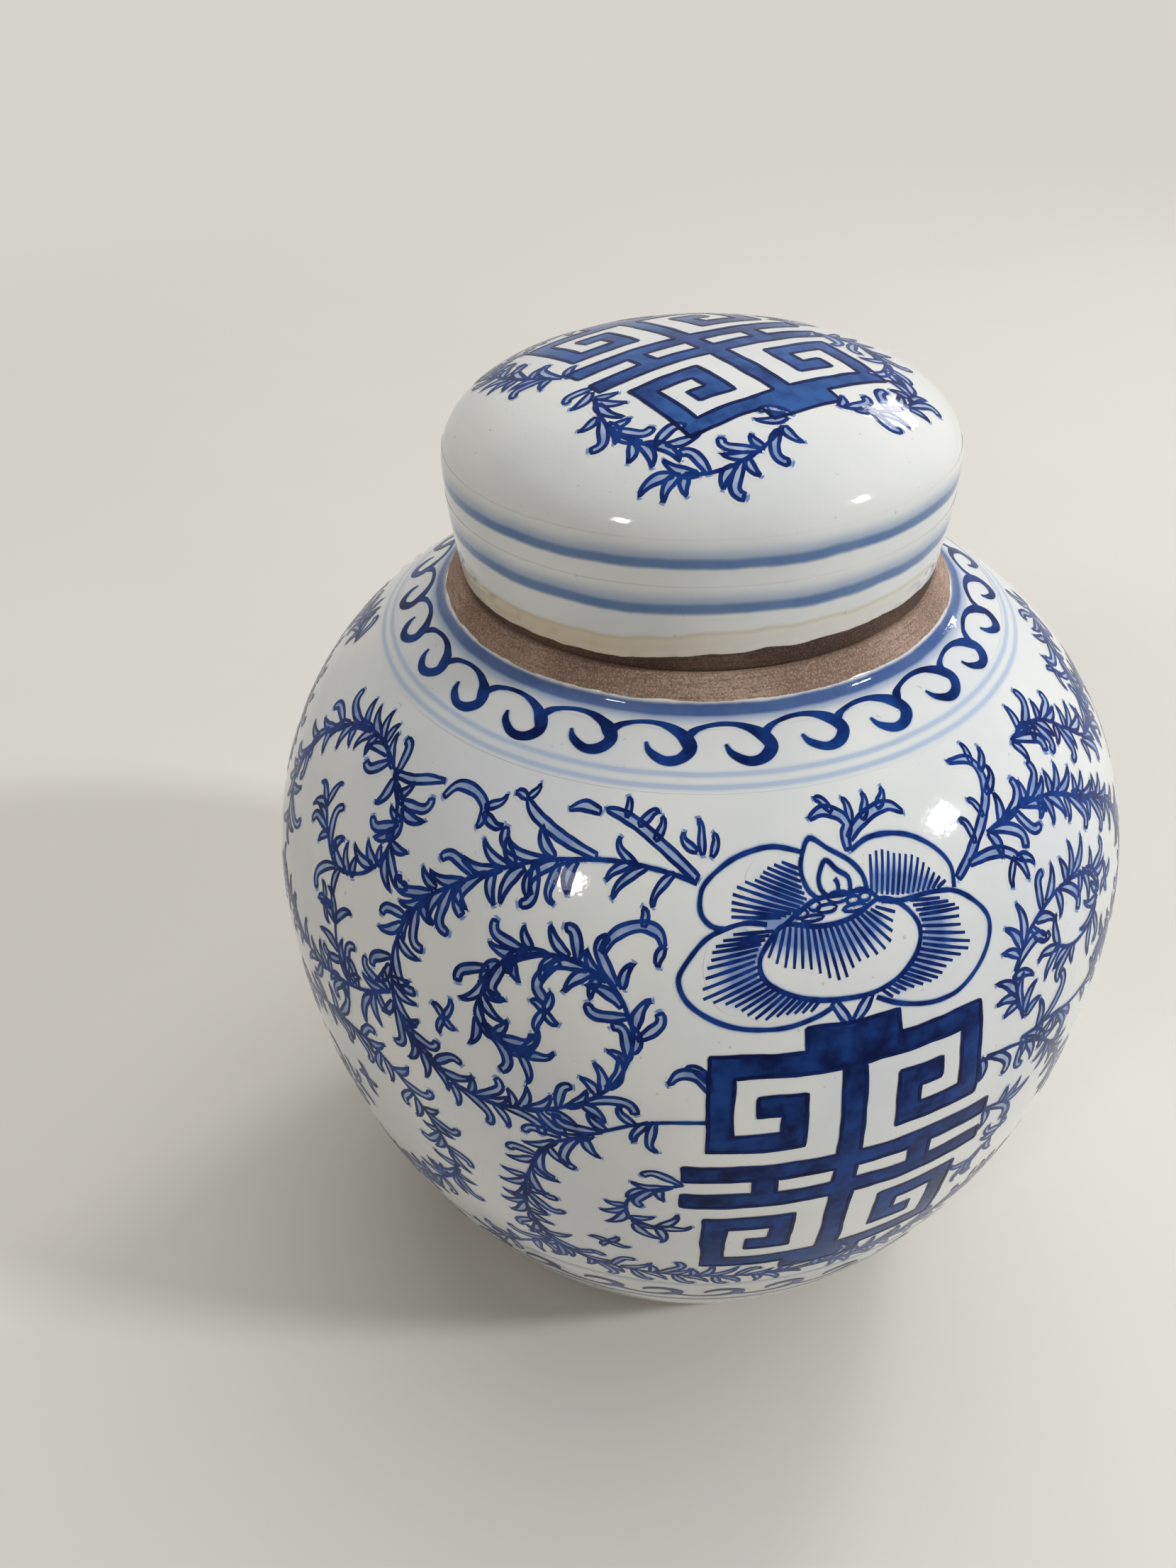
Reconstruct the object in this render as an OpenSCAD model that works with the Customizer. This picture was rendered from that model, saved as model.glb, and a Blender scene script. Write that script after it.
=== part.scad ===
// Ginger jar: a round-bellied glazed jar with a short neck, and a domed cap lid that lifts straight off it.
// Millimetres. +Z is up, and the origin is the centre of the foot ring on the table.

/* [Belly] */
// Widest diameter of the jar
belly_diameter = 200; // [180:1:230]
// Height of the widest level above the table
belly_level = 110; // [100:1:125]
// Height of the shoulder curve above the widest level, if it ran on to the axis
shoulder_rise = 79.4; // [72:0.2:95]
// Power of the shoulder curve upwards: 2 is an ellipse, more is squarer
shoulder_power_up = 2.1; // [1.9:0.05:2.4]
// Power of the shoulder curve outwards: 2 is an ellipse, more is squarer
shoulder_power_out = 2.7; // [2.3:0.05:3]
// Depth of the lower curve below the widest level, if it ran on to the axis
belly_drop = 180; // [160:1:220]
// Power of the lower curve downwards: 2 is a parabola, more is squarer
belly_power_down = 2.15; // [1.9:0.05:2.5]
// Thickness of the jar's wall
jar_wall = 5; // [3:0.25:8]
// Thickness of the jar's floor
floor_thickness = 7; // [4:0.5:12]

/* [Foot] */
// Outer diameter of the foot ring
foot_diameter = 130; // [110:1:132]
// Width of the foot ring
foot_width = 8; // [5:0.5:14]
// Height of the foot ring and of the hollow inside it
foot_height = 4; // [2:0.5:6]
// Height over which the belly turns under to the foot ring
foot_turn = 3.5; // [2:0.5:7]
// Small bevel on the edges of the foot ring
foot_bevel = 0.8; // [0.3:0.1:1.5]

/* [Seat and neck] */
// Diameter where the glaze stops and the bare clay seat begins
seat_diameter = 107.4; // [104:0.2:116]
// Height of the low step where the glaze stops
seat_step = 1.3; // [0.5:0.1:2]
// Width of that step
seat_step_width = 0.6; // [0.2:0.1:1]
// Height of the slope from the edge of the glaze up to the level ledge
seat_rise = 3.8; // [1:0.2:5]
// Width of the level ledge that shows outside the lid
ledge_margin = 0.5; // [0.2:0.1:1.5]
// Diameter of the mouth
mouth_diameter = 77; // [68:1:80]
// Thickness of the neck's wall
neck_wall = 5; // [3:0.25:6]
// Height of the neck above the ledge
neck_height = 17; // [8:1:22]
// Height of the rounding on the neck's rim
neck_round = 2; // [1:0.25:2.5]

/* [Lid] */
// Gap between the neck and the inside of the lid, at the rim
lid_clearance = 1.5; // [0.8:0.1:2]
// Thickness of the lid's wall
lid_wall = 4.7; // [3:0.1:5.5]
// Height of the lid's side, from its rim to the start of the dome
lid_side_height = 23.6; // [20:0.2:34]
// How far the lid's side swells out from the rim to the dome
lid_flare = 2; // [0:0.1:4]
// Height of the dome above the lid's side
lid_dome_height = 19.6; // [12:0.2:30]
// Power of the dome's curve: 2 is an ellipse, more is squarer
lid_dome_power = 2.2; // [1.9:0.05:2.6]
// Thickness of the lid at the top of its dome
lid_crown = 5; // [3:0.25:8]
// Small bevel on the edges of the lid's rim
lid_bevel = 0.6; // [0.2:0.1:1.2]

/* [Hidden] */
$fn = 96;

// Steps along each curved stretch of an outline
curve_steps = 22;
turn_steps = 8;

belly_radius = belly_diameter / 2;
foot_radius = foot_diameter / 2;
seat_radius = seat_diameter / 2;
mouth_radius = mouth_diameter / 2;
neck_radius = mouth_radius + neck_wall;
lid_bore_radius = neck_radius + lid_clearance;
lid_rim_radius = lid_bore_radius + lid_wall;
lid_radius = lid_rim_radius + lid_flare;
ledge_radius = lid_rim_radius + ledge_margin;

foot_top = foot_height + foot_turn;
floor_top = foot_height + floor_thickness;
step_radius = seat_radius + seat_step_width;
step_level = belly_level + rise_at(belly_radius, shoulder_rise, step_radius);
seat_level = step_level + seat_step;
ledge_level = seat_level + seat_rise;
neck_top = ledge_level + neck_height;
lid_dome_level = ledge_level + lid_side_height;

// Height of a shoulder curve of the given radius and rise at the distance r from the axis
function rise_at(radius, rise, r) =
    rise * pow(1 - pow(r / radius, shoulder_power_out), 1 / shoulder_power_up);

// Point of a shoulder curve at the angle a: 0 at the widest level, 90 on the axis
function shoulder_point(radius, rise, a) =
    [radius * pow(cos(a), 2 / shoulder_power_out), belly_level + rise * pow(sin(a), 2 / shoulder_power_up)];

// Point of a lower curve at the angle a: 0 at the widest level, 90 on the axis
function lower_point(radius, drop, a) =
    [radius * pow(cos(a), 2), belly_level - drop * pow(sin(a), 2 / belly_power_down)];

// Angles at which those curves reach the distance r from the axis, or the height z
function shoulder_angle(radius, r) = acos(pow(r / radius, shoulder_power_out / 2));
function lower_angle(drop, z) = asin(pow((belly_level - z) / drop, belly_power_down / 2));

// The jar's wall from the foot up to the given radius, on a curve drawn in by inset
function shell_curve(inset, bottom, top_radius) =
    let (radius = belly_radius - inset, rise = shoulder_rise - inset, drop = belly_drop - inset)
    let (low = lower_angle(drop, bottom), high = shoulder_angle(radius, top_radius))
    concat(
        [for (i = [curve_steps : -1 : 1]) lower_point(radius, drop, low * i / curve_steps)],
        [for (i = [0 : curve_steps]) shoulder_point(radius, rise, high * i / curve_steps)]
    );

// A quarter round, of the given width and height, from the angle first to the angle last about its centre
function quarter(centre, width, height, first, last) =
    [for (i = [0 : turn_steps])
        let (a = first + (last - first) * i / turn_steps)
        centre + [width * cos(a), height * sin(a)]];

function reversed(points) = [for (i = [len(points) - 1 : -1 : 0]) points[i]];

// The side of the lid from its rim up to the dome, drawn in by inset
function lid_side(inset) =
    [for (i = [0 : turn_steps - 1])
        let (t = i / turn_steps)
        [lid_rim_radius - inset + lid_flare * sin(90 * t), ledge_level + lid_side_height * t]];

// The dome of the lid, drawn in by inset at its side and by crown at its top
function lid_dome(inset, crown) =
    [for (i = [0 : curve_steps])
        let (a = 90 * i / curve_steps)
        [(lid_radius - inset) * pow(cos(a), 2 / lid_dome_power),
            lid_dome_level + (lid_dome_height - crown) * pow(sin(a), 2 / lid_dome_power)]];

module jar_body() {
    outer = shell_curve(0, foot_top, step_radius);
    inner = shell_curve(jar_wall, floor_top, mouth_radius);
    turn_width = outer[0].x - foot_radius;
    under_turn = reversed(quarter([foot_radius, foot_top], turn_width, foot_turn, 0, -90));
    neck_rim = quarter([mouth_radius + neck_wall / 2, neck_top - neck_round], neck_wall / 2, neck_round, 0, 180);
    foot_inside = foot_radius - foot_width;
    color("ghostwhite")
        rotate_extrude()
            polygon(concat(
                [[0, foot_height], [foot_inside, foot_height]],
                [[foot_inside, foot_bevel], [foot_inside + foot_bevel, 0]],
                [[foot_radius - foot_bevel, 0], [foot_radius, foot_bevel]],
                under_turn,
                [for (i = [1 : len(outer) - 1]) outer[i]],
                [[seat_radius, seat_level], [ledge_radius, ledge_level], [neck_radius, ledge_level]],
                neck_rim,
                reversed(inner),
                [[0, floor_top]]
            ));
}

module lid() {
    color("aliceblue")
        rotate_extrude()
            polygon(concat(
                [[lid_bore_radius + lid_bevel, ledge_level], [lid_rim_radius - lid_bevel, ledge_level]],
                [[lid_rim_radius, ledge_level + lid_bevel]],
                [for (i = [1 : turn_steps - 1]) lid_side(0)[i]],
                lid_dome(0, 0),
                reversed(lid_dome(lid_wall, lid_crown)),
                [for (i = [turn_steps - 1 : -1 : 1]) lid_side(lid_wall)[i]],
                [[lid_bore_radius, ledge_level + lid_bevel]]
            ));
}

jar_body();
lid();
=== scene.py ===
import math
import bpy
import numpy as np
from mathutils import Matrix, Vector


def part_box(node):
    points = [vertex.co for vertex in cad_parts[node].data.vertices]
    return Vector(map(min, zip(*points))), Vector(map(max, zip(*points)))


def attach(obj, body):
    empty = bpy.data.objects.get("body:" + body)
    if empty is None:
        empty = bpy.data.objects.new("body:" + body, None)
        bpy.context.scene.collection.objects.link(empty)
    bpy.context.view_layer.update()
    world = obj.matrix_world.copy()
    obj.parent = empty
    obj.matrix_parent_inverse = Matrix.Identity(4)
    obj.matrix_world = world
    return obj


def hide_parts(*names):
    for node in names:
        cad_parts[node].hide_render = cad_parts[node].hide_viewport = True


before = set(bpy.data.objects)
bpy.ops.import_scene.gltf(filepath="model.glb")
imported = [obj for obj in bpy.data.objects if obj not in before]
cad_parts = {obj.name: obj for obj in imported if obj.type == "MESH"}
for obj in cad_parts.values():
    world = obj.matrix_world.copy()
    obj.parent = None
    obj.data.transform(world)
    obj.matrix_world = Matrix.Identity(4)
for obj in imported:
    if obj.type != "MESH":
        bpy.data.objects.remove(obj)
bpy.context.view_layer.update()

MM = 0.001

# Sizes of the turned sections, in millimetres, as the solids have them
jar_low, jar_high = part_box("jar_body")
lid_low, lid_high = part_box("lid")
BELLY_RADIUS = (jar_high.x - jar_low.x) / 2 / MM
NECK_TOP = jar_high.z / MM
LEDGE_LEVEL = lid_low.z / MM
LID_TOP = lid_high.z / MM
LID_RADIUS = (lid_high.x - lid_low.x) / 2 / MM
BELLY_LEVEL = 110
SHOULDER_RISE = 79.4
SHOULDER_POWER_UP = 2.1
SHOULDER_POWER_OUT = 2.7
BELLY_DROP = 180
BELLY_POWER_DOWN = 2.15
BELLY_POWER_OUT = 1
JAR_WALL = 5
FLOOR_TOP = 11
FOOT_RADIUS = 65
FOOT_INSIDE = 57
FOOT_HEIGHT = 4
FOOT_TOP = 7.5
FOOT_BEVEL = 0.8
SEAT_RADIUS = 53.7
STEP_RADIUS = 54.3
SEAT_RISE = 3.8
LEDGE_RADIUS = 50.2
NECK_RADIUS = 43.5
MOUTH_RADIUS = 38.5
NECK_ROUND = 2
LID_BORE_RADIUS = 45
LID_RIM_RADIUS = 49.7
LID_WALL = 4.7
LID_CROWN = 5
LID_DOME_HEIGHT = 19.6
LID_DOME_POWER = 2.2
LID_BEVEL = 0.6
LID_DOME_LEVEL = LID_TOP - LID_DOME_HEIGHT
LID_FLARE = LID_RADIUS - LID_RIM_RADIUS
CORNER_EASE = 0.4
BASE_EASE = 1
# Softened edges of the clay seat: offsets outward and up from each sharp corner
SEAT_EDGE = [(0.1, -0.25), (-0.15, 0.1)]
LEDGE_EDGE = [(0.2, -0.15), (-0.1, 0)]

# Steps in the meshes of the turned pieces
SECTION_STEPS = 64
INSIDE_STEPS = 32
LID_STEPS = 48
LID_INSIDE_STEPS = 28
LID_SIDE_STEPS = 16
FOOT_TURN_STEPS = 10
RIM_STEPS = 16
AROUND_STEPS = 240


# Sections


def bowed(radius, rise, level, angle, power_out, power_up):
    """A curve bowed like an ellipse, but fuller or flatter as its two powers say."""
    out = radius * np.cos(angle) ** (2 / power_out)
    up = level + rise * np.sin(angle) ** (2 / power_up)
    return np.column_stack([out, up])


def shoulder_curve(inset, top_radius, steps):
    radius = BELLY_RADIUS - inset
    last = math.acos((top_radius / radius) ** (SHOULDER_POWER_OUT / 2))
    angle = np.linspace(0, last, steps + 1)
    return bowed(radius, SHOULDER_RISE - inset, BELLY_LEVEL, angle, SHOULDER_POWER_OUT, SHOULDER_POWER_UP)


def lower_curve(inset, bottom, steps):
    drop = BELLY_DROP - inset
    last = math.asin(((BELLY_LEVEL - bottom) / drop) ** (BELLY_POWER_DOWN / 2))
    angle = np.linspace(last, 0, steps + 1)
    return bowed(BELLY_RADIUS - inset, -drop, BELLY_LEVEL, angle, BELLY_POWER_OUT, BELLY_POWER_DOWN)


def rounded(centre, width, height, first, last, steps):
    angle = np.radians(np.linspace(first, last, steps + 1))
    return np.column_stack([centre[0] + width * np.cos(angle), centre[1] + height * np.sin(angle)])


def lid_side(inset):
    t = np.linspace(0, 1, LID_SIDE_STEPS + 1)
    out = LID_RIM_RADIUS - inset + LID_FLARE * np.sin(math.pi / 2 * t)
    up = LEDGE_LEVEL + (LID_DOME_LEVEL - LEDGE_LEVEL) * t
    return np.column_stack([out, up])


def lid_dome(inset, crown, steps):
    angle = np.linspace(0, math.pi / 2, steps + 1)
    rise = LID_DOME_HEIGHT - crown
    dome = bowed(LID_RADIUS - inset, rise, LID_DOME_LEVEL, angle, LID_DOME_POWER, LID_DOME_POWER)
    dome[-1, 0] = 0
    return dome


def jar_section():
    lower = lower_curve(0, FOOT_TOP, SECTION_STEPS)
    shoulder = shoulder_curve(0, STEP_RADIUS, SECTION_STEPS)
    lower_inside = lower_curve(JAR_WALL, FLOOR_TOP, INSIDE_STEPS)
    shoulder_inside = shoulder_curve(JAR_WALL, MOUTH_RADIUS, INSIDE_STEPS)
    foot = [
        (0, FOOT_HEIGHT),
        (FOOT_INSIDE - BASE_EASE, FOOT_HEIGHT),
        (FOOT_INSIDE, FOOT_HEIGHT - CORNER_EASE),
        (FOOT_INSIDE, FOOT_BEVEL),
        (FOOT_INSIDE + FOOT_BEVEL, 0),
        (FOOT_RADIUS - FOOT_BEVEL, 0),
        (FOOT_RADIUS, FOOT_BEVEL),
    ]
    turn_width = lower[0][0] - FOOT_RADIUS
    turn_height = FOOT_TOP - FOOT_HEIGHT
    turn = rounded((FOOT_RADIUS, FOOT_TOP), turn_width, turn_height, -90, 0, FOOT_TURN_STEPS)
    seat = [(SEAT_RADIUS + out, LEDGE_LEVEL - SEAT_RISE + up) for out, up in SEAT_EDGE]
    ledge = [(LEDGE_RADIUS + out, LEDGE_LEVEL + up) for out, up in LEDGE_EDGE]
    neck = [(NECK_RADIUS + CORNER_EASE, LEDGE_LEVEL), (NECK_RADIUS, LEDGE_LEVEL + CORNER_EASE)]
    rim_centre = ((NECK_RADIUS + MOUTH_RADIUS) / 2, NECK_TOP - NECK_ROUND)
    rim = rounded(rim_centre, (NECK_RADIUS - MOUTH_RADIUS) / 2, NECK_ROUND, 0, 180, RIM_STEPS)
    outside = [foot, turn, lower[1:], shoulder[1:], seat, ledge, neck, rim]
    return np.vstack(outside + [shoulder_inside[:0:-1], lower_inside[::-1], [(0, FLOOR_TOP)]])


def lid_section():
    rim = [
        (LID_BORE_RADIUS, LEDGE_LEVEL + LID_BEVEL),
        (LID_BORE_RADIUS + LID_BEVEL, LEDGE_LEVEL),
        (LID_RIM_RADIUS - LID_BEVEL, LEDGE_LEVEL),
        (LID_RIM_RADIUS, LEDGE_LEVEL + LID_BEVEL),
    ]
    inside = lid_dome(LID_WALL, LID_CROWN, LID_INSIDE_STEPS)[::-1]
    inside_wall = lid_side(LID_WALL)[-2:0:-1]
    return np.vstack([inside, inside_wall, rim, lid_side(0)[1:-1], lid_dome(0, 0, LID_STEPS)])


def arc_lengths(path):
    return np.concatenate([[0], np.cumsum(np.linalg.norm(np.diff(path, axis=0), axis=1))])


def spot_along(path, length):
    """The point at a length along a path."""
    lengths = arc_lengths(path)
    return np.array([np.interp(length, lengths, axis) for axis in zip(*path)])


# Drawings, in millimetres on the flat

DRAWN = []


def linked(name, data):
    thing = bpy.data.objects.new(name, data)
    bpy.context.scene.collection.objects.link(thing)
    return thing


def curve_object(name, lines):
    """A curve for the node trees to read, from each line's points, half widths and whether it closes."""
    curve = bpy.data.curves.new(name, "CURVE")
    curve.dimensions = "3D"
    for points, widths, closed in lines:
        spline = curve.splines.new("POLY")
        spline.points.add(len(points) - 1)
        spline.use_cyclic_u = closed
        for point, spot, width in zip(spline.points, points, widths):
            point.co = (*(c * MM for c in spot), 1)
            point.radius = width * MM
    thing = linked(f"{name}_drawn", curve)
    DRAWN.append(thing)
    return thing


def drawing(name, strokes):
    """Brush strokes, each a list of points and its half width, or the half widths along it."""
    lines = []
    for points, widths in strokes:
        closed = len(points) > 2 and points[0] == points[-1]
        kept = [(x, y, 0) for x, y in points[:len(points) - closed]]
        lines.append((kept, widths if isinstance(widths, list) else [widths] * len(kept), closed))
    return curve_object(name, lines)


def across(degrees):
    return math.radians(degrees) * BELLY_RADIUS


def on_belly(path):
    return [(across(turn), up) for turn, up in path]


def swung(x, y, degrees):
    swing = math.radians(degrees)
    return x * math.cos(swing) - y * math.sin(swing), x * math.sin(swing) + y * math.cos(swing)


# A leaf's half width at its root and at its tip, as shares of its full half width, and where along it
# the leaf reaches its full width and begins to hook over
LEAF_ROOT = 0.45
CLAW_TIP = 0.06
STRAP_TIP = 0.75
LEAF_FULL_AT = 0.35
LEAF_HOOK_FROM = 0.65
LEAF_STEPS = 9


def leaf(root, heading, length, bend, hook, width, tip=CLAW_TIP):
    """One brushed leaf: a claw narrows to a sharp tip, and a strap keeps its width and may hook over."""
    x, y = root
    points = [(x, y)]
    widths = [LEAF_ROOT * width]
    for i in range(LEAF_STEPS):
        t = (i + 0.5) / LEAF_STEPS
        hooked = max(0, (t - LEAF_HOOK_FROM) / (1 - LEAF_HOOK_FROM))
        turn = math.radians(heading + bend * t + hook * hooked)
        x += math.cos(turn) * length / LEAF_STEPS
        y += math.sin(turn) * length / LEAF_STEPS
        end = (i + 1) / LEAF_STEPS
        points.append((x, y))
        swell = LEAF_ROOT + (1 - LEAF_ROOT) * min(1, end / LEAF_FULL_AT)
        widths.append(width * swell * (1 - (1 - tip) * end ** 2))
    return points, widths


SPRAYS = {
    "Spray A": [
        leaf((0.8, 0.2), 34, 9.5, 18, 95, 0.88, STRAP_TIP),
        leaf((2.8, 0.3), 2, 6.4, 62, 0, 0.98),
        leaf((-0.4, 0.3), 58, 4.8, 64, 0, 0.92),
    ],
    "Spray B": [
        leaf((2.4, 0.3), 0, 8.2, 66, 0, 1.05),
        leaf((1.0, 0.3), 30, 6.8, 66, 0, 1.0),
        leaf((-0.4, 0.3), 62, 4.8, 60, 0, 0.92),
    ],
    "Spray C": [
        leaf((1.6, 0.2), 6, 11.0, 60, 60, 0.9, STRAP_TIP),
        leaf((0, 0.3), 46, 6.2, 64, 0, 1.0),
    ],
    "Spray D": [
        leaf((0, 0.2), 74, 7.8, -24, -75, 0.86, STRAP_TIP),
        leaf((2.0, 0.3), 8, 7.4, 58, 0, 1.05),
    ],
}

# Vine stems: degrees round the jar and millimetres along its side from the widest level
STEMS = [
    [(-11.3, 61), (-18.3, 58.9), (-24.7, 54.3), (-30.8, 47.4), (-34.3, 40.5), (-35.8, 30),
     (-34.5, 20), (-31, 12.9), (-26, 8), (-21, 7.1), (-15.5, 9.5), (-10.5, 14), (-7, 20), (-5.3, 28),
     (-5.8, 33.6), (-7.9, 39.4), (-12.1, 42.4), (-17.2, 42.2), (-21.5, 37.8), (-23, 30), (-21.6, 25),
     (-19.6, 22.4), (-17.8, 22)],
    [(-45.5, 61.5), (-51, 64.5), (-57, 64), (-62, 60.5), (-66.5, 54), (-69, 46), (-69.5, 38),
     (-68, 31)],
    [(-45.5, 61.5), (-42.5, 57), (-41, 51), (-42, 44.5), (-45, 40), (-49.5, 38), (-53, 41),
     (-56, 45.5)],
    [(-35.5, 22), (-40, 17.5), (-46, 14), (-53, 12), (-60, 14), (-66, 17)],
    [(-43, 16), (-46, 22), (-47, 27)],
    [(-50, 1), (-45, 3), (-39, 3), (-34.5, -1), (-31, -8), (-29, -16), (-28.5, -24), (-31, -32),
     (-35, -39)],
    [(-7.9, 7.8), (-11, 4.4), (-13.8, 1.1), (-15.6, -3.4), (-17.2, -10.7), (-18.3, -18.2),
     (-18.6, -25.6), (-17.9, -32.9), (-16.2, -39.5), (-13, -44.6), (-8.5, -47.2), (-3, -48.2),
     (4, -49), (12, -49.5), (20, -50), (28, -49.5), (36, -47), (43, -42)],
    [(-16.2, -39.5), (-19, -45), (-23, -52), (-27, -57)],
    [(0.4, -6.5), (-2.1, -8.2), (-4.4, -10.1), (-5.9, -14.5), (-5.8, -19.7), (-4.4, -22.2),
     (-2.6, -23)],
    [(41, 55.6), (45.5, 56.2), (49.2, 55.8), (54.6, 53.6), (59, 49.6), (64.5, 44), (69, 38), (72, 32)],
    [(54, 66.4), (59, 66.5), (64, 63.5), (67.5, 58), (71.4, 52.5), (76, 50.5)],
    [(41, 16), (40, 22), (40, 28), (43, 34), (48, 37), (53, 36.5), (57.5, 33), (58.5, 28), (56, 23.5),
     (51.5, 23), (48, 26)],
    [(34.3, 11.6), (37.5, 11.2), (41, 9.5), (45.5, 5), (49, -1.5), (52, -9), (54, -17)],
    [(41, 11), (47, 10), (51, 8), (56, 7.5), (61, 9)],
    [(37, -5), (41, -8), (42.5, -14), (41, -20), (38, -25)],
    [(72, 32), (73.5, 24), (71, 16), (66, 12), (61, 13)],
    [(76, 50), (84, 52), (91, 50), (97, 45), (100, 37), (98, 29), (92, 25), (86, 28), (85, 34),
     (89, 38)],
    [(98, 66), (92, 67), (86, 64), (82, 59)],
    [(54, -17), (58, -25), (64, -31), (71, -33), (78, -31), (83, -25), (84, -17), (80, -11),
     (74, -11), (71, -16)],
    [(108, 10), (103, 4), (97, 1), (90, 2), (84, 5), (78, 4)],
    [(108, -20), (102, -26), (97, -34), (90, -41), (82, -45), (74, -46), (66, -45), (58, -44),
     (50, -43), (43, -42)],
    [(104, -8), (98, -12), (93, -18), (92, -26)],
    [(-50, 1), (-55, -3), (-60, -9), (-63, -16), (-62, -24), (-57, -29), (-51, -28), (-48, -23)],
    [(-35, -39), (-40, -45), (-47, -49), (-55, -50), (-63, -48), (-70, -44)],
]

# Stems with no leaves, from the flower and the emblem to where the vine begins
BARE_STEMS = [
    [(1.3, 58.3), (-1.6, 59.8), (-4.5, 60.6), (-7.6, 61.2), (-11.3, 61)],
    [(2.8, 12.1), (-1.7, 11.7), (-5, 10.3), (-7.9, 7.8)],
]

# Tendrils: thicker shoots with no leaves along them, placed in the same way
TENDRILS = [
    [(-11.6, 61.4), (-15.2, 62.9), (-18.4, 64.6), (-21.5, 66.7), (-23.2, 68.8)],
    [(1.3, 59.1), (-1, 62.1), (-3.6, 65), (-6.4, 67.7), (-9.1, 69.4), (-11.4, 70)],
    [(-12.2, 69.4), (-14.7, 70), (-16.6, 68.8)],
    [(-35.8, 63.3), (-34.5, 66.3), (-31.5, 66.7), (-29.1, 65), (-28.6, 62.3), (-28.9, 60.8)],
    [(-46.2, 61.7), (-42.6, 62.7), (-39.9, 64.4), (-37, 65.8)],
    [(-14.2, 41.9), (-15.8, 39), (-16.4, 36.5), (-15.6, 34.6), (-15.2, 33.8)],
    [(-9.3, 45.1), (-8.4, 47.8), (-6.8, 49.7), (-4.8, 50.5), (-3, 49.5), (-2.4, 47)],
    [(20.8, 61.7), (20.9, 64.2), (21.6, 65.8), (20.8, 67.9), (18.6, 69.2), (16.6, 68.2)],
    [(21.4, 63.5), (22.9, 65.4), (25.6, 67.1), (28.2, 67.3), (29.9, 65.4)],
    [(34.4, 50.8), (37.8, 54.3), (41.6, 58.7), (43.8, 61.9), (44.9, 65.6), (44.1, 68.8), (40.6, 70.2)],
    [(36.7, 52.2), (40.1, 52), (42.8, 50.5), (44.5, 47.4), (45, 43.6)],
    [(3, 19.5), (1.7, 22.7), (-0.2, 23.1), (-1.3, 20.8)],
    [(16.3, 35.5), (17.2, 33), (18, 30.6)],
    [(20.5, 35.6), (19.4, 33), (18.2, 30.6)],
]

# Single leaves of the sprig over the flower and of the tendrils: root, heading, length, bend and hook
LOOSE_LEAVES = [
    ((19.9, 68.8), 125, 4.6, 15, 60), ((22.2, 66.3), 80, 4.6, 15, 60),
    ((23.9, 66.3), 48, 5.2, 15, 60), ((26.5, 67.5), 30, 4.6, 15, 60),
    ((-8.4, 69.2), 80, 3.6, 15, 60), ((-6.6, 68), 32, 5.4, 20, -70),
    ((-4.2, 65.6), 50, 4.6, 30, 60), ((2, 63.5), 100, 6.2, -20, 60),
    ((1.2, 64), 165, 4.8, -40, -60), ((3.2, 63.1), 60, 4.2, 30, 60),
    ((-6.4, 61), 160, 6.8, -30, -60), ((-5.1, 60.6), 200, 9.2, 35, 30),
    ((-6.8, 61), 190, 6.6, 35, 30), ((-1.6, 59.8), 212, 7.4, 35, 30),
    ((-16.1, 59.6), 252, 8.8, 14, 90), ((-23.2, 68.8), 160, 3.6, 15, 60),
    ((-23.2, 68.8), 40, 4, 15, 60), ((-2.4, 47), -120, 3.6, 15, 60),
    ((-4.8, 50.5), 80, 3.4, 15, 60), ((-28.9, 64.8), 20, 6, 15, 60),
    ((-28.7, 63.6), -25, 6.4, 15, 60), ((2.9, 21.5), 118, 5.8, 40, 60),
    ((-2.8, 11.5), 258, 8.6, 10, 70), ((-3.4, 11.2), 222, 6.2, 30, 40),
    ((-4.8, 10.4), 150, 5.4, -30, -50), ((44.3, 68), 60, 4.2, 30, 50), ((45, 66), 20, 5.6, 30, 50),
    ((43.8, 61.9), 10, 7, 40, 60), ((41.6, 58.7), 98, 4.6, 25, 60), ((38.6, 55.2), 80, 5.6, 40, 60),
    ((43.8, 48.6), 215, 5.8, 30, 40), ((44.2, 48.4), -14, 5.6, -30, -40),
]

# Small loose florets: place and turn
FLORETS = [
    ((-15.2, 32), 20), ((-50, 29), 70), ((62, 27), 140), ((-27.5, 23), 200), ((-43, -13), 60),
    ((86, 12), 250), ((78, 64), 10), ((-8.5, -33), 110),
]
STEM_HALF_WIDTH = 0.42
# Lengths at a stem's start and end that carry no sprays, and how near a cut end its points may lie
LEAFLESS_START = 5
LEAFLESS_END = 6
CUT_GAP = 1
# Leaves at a stem's end: how far each leans from the stem, its length and its hook
TIP_LEAVES = ((-42, 7.5, -30), (8, 7.8, 75), (42, 7.5, 30))
TIP_LEAF_HALF_WIDTH = 1.0
TENDRIL_HALF_WIDTHS = [0.6, 0.85, 0.9, 0.9, 0.85, 0.8]
TENDRIL_TIP_HALF_WIDTH = 0.3
LOOSE_LEAF_HALF_WIDTH = 0.85
LOOSE_TIP = 0.3
# Leaves of a floret: heading and length, and what they share
FLORET_LEAVES = ((40, 4.2), (115, 3.4), (215, 5.0), (285, 3.6))
FLORET_BEND = 25
FLORET_HOOK = 50
FLORET_HALF_WIDTH = 0.8
HALF_TURN = across(180)


def twice(strokes):
    """The design covers half the jar, so it is drawn again on the far half."""
    return strokes + [([(x + HALF_TURN, y) for x, y in points], widths) for points, widths in strokes]


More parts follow.
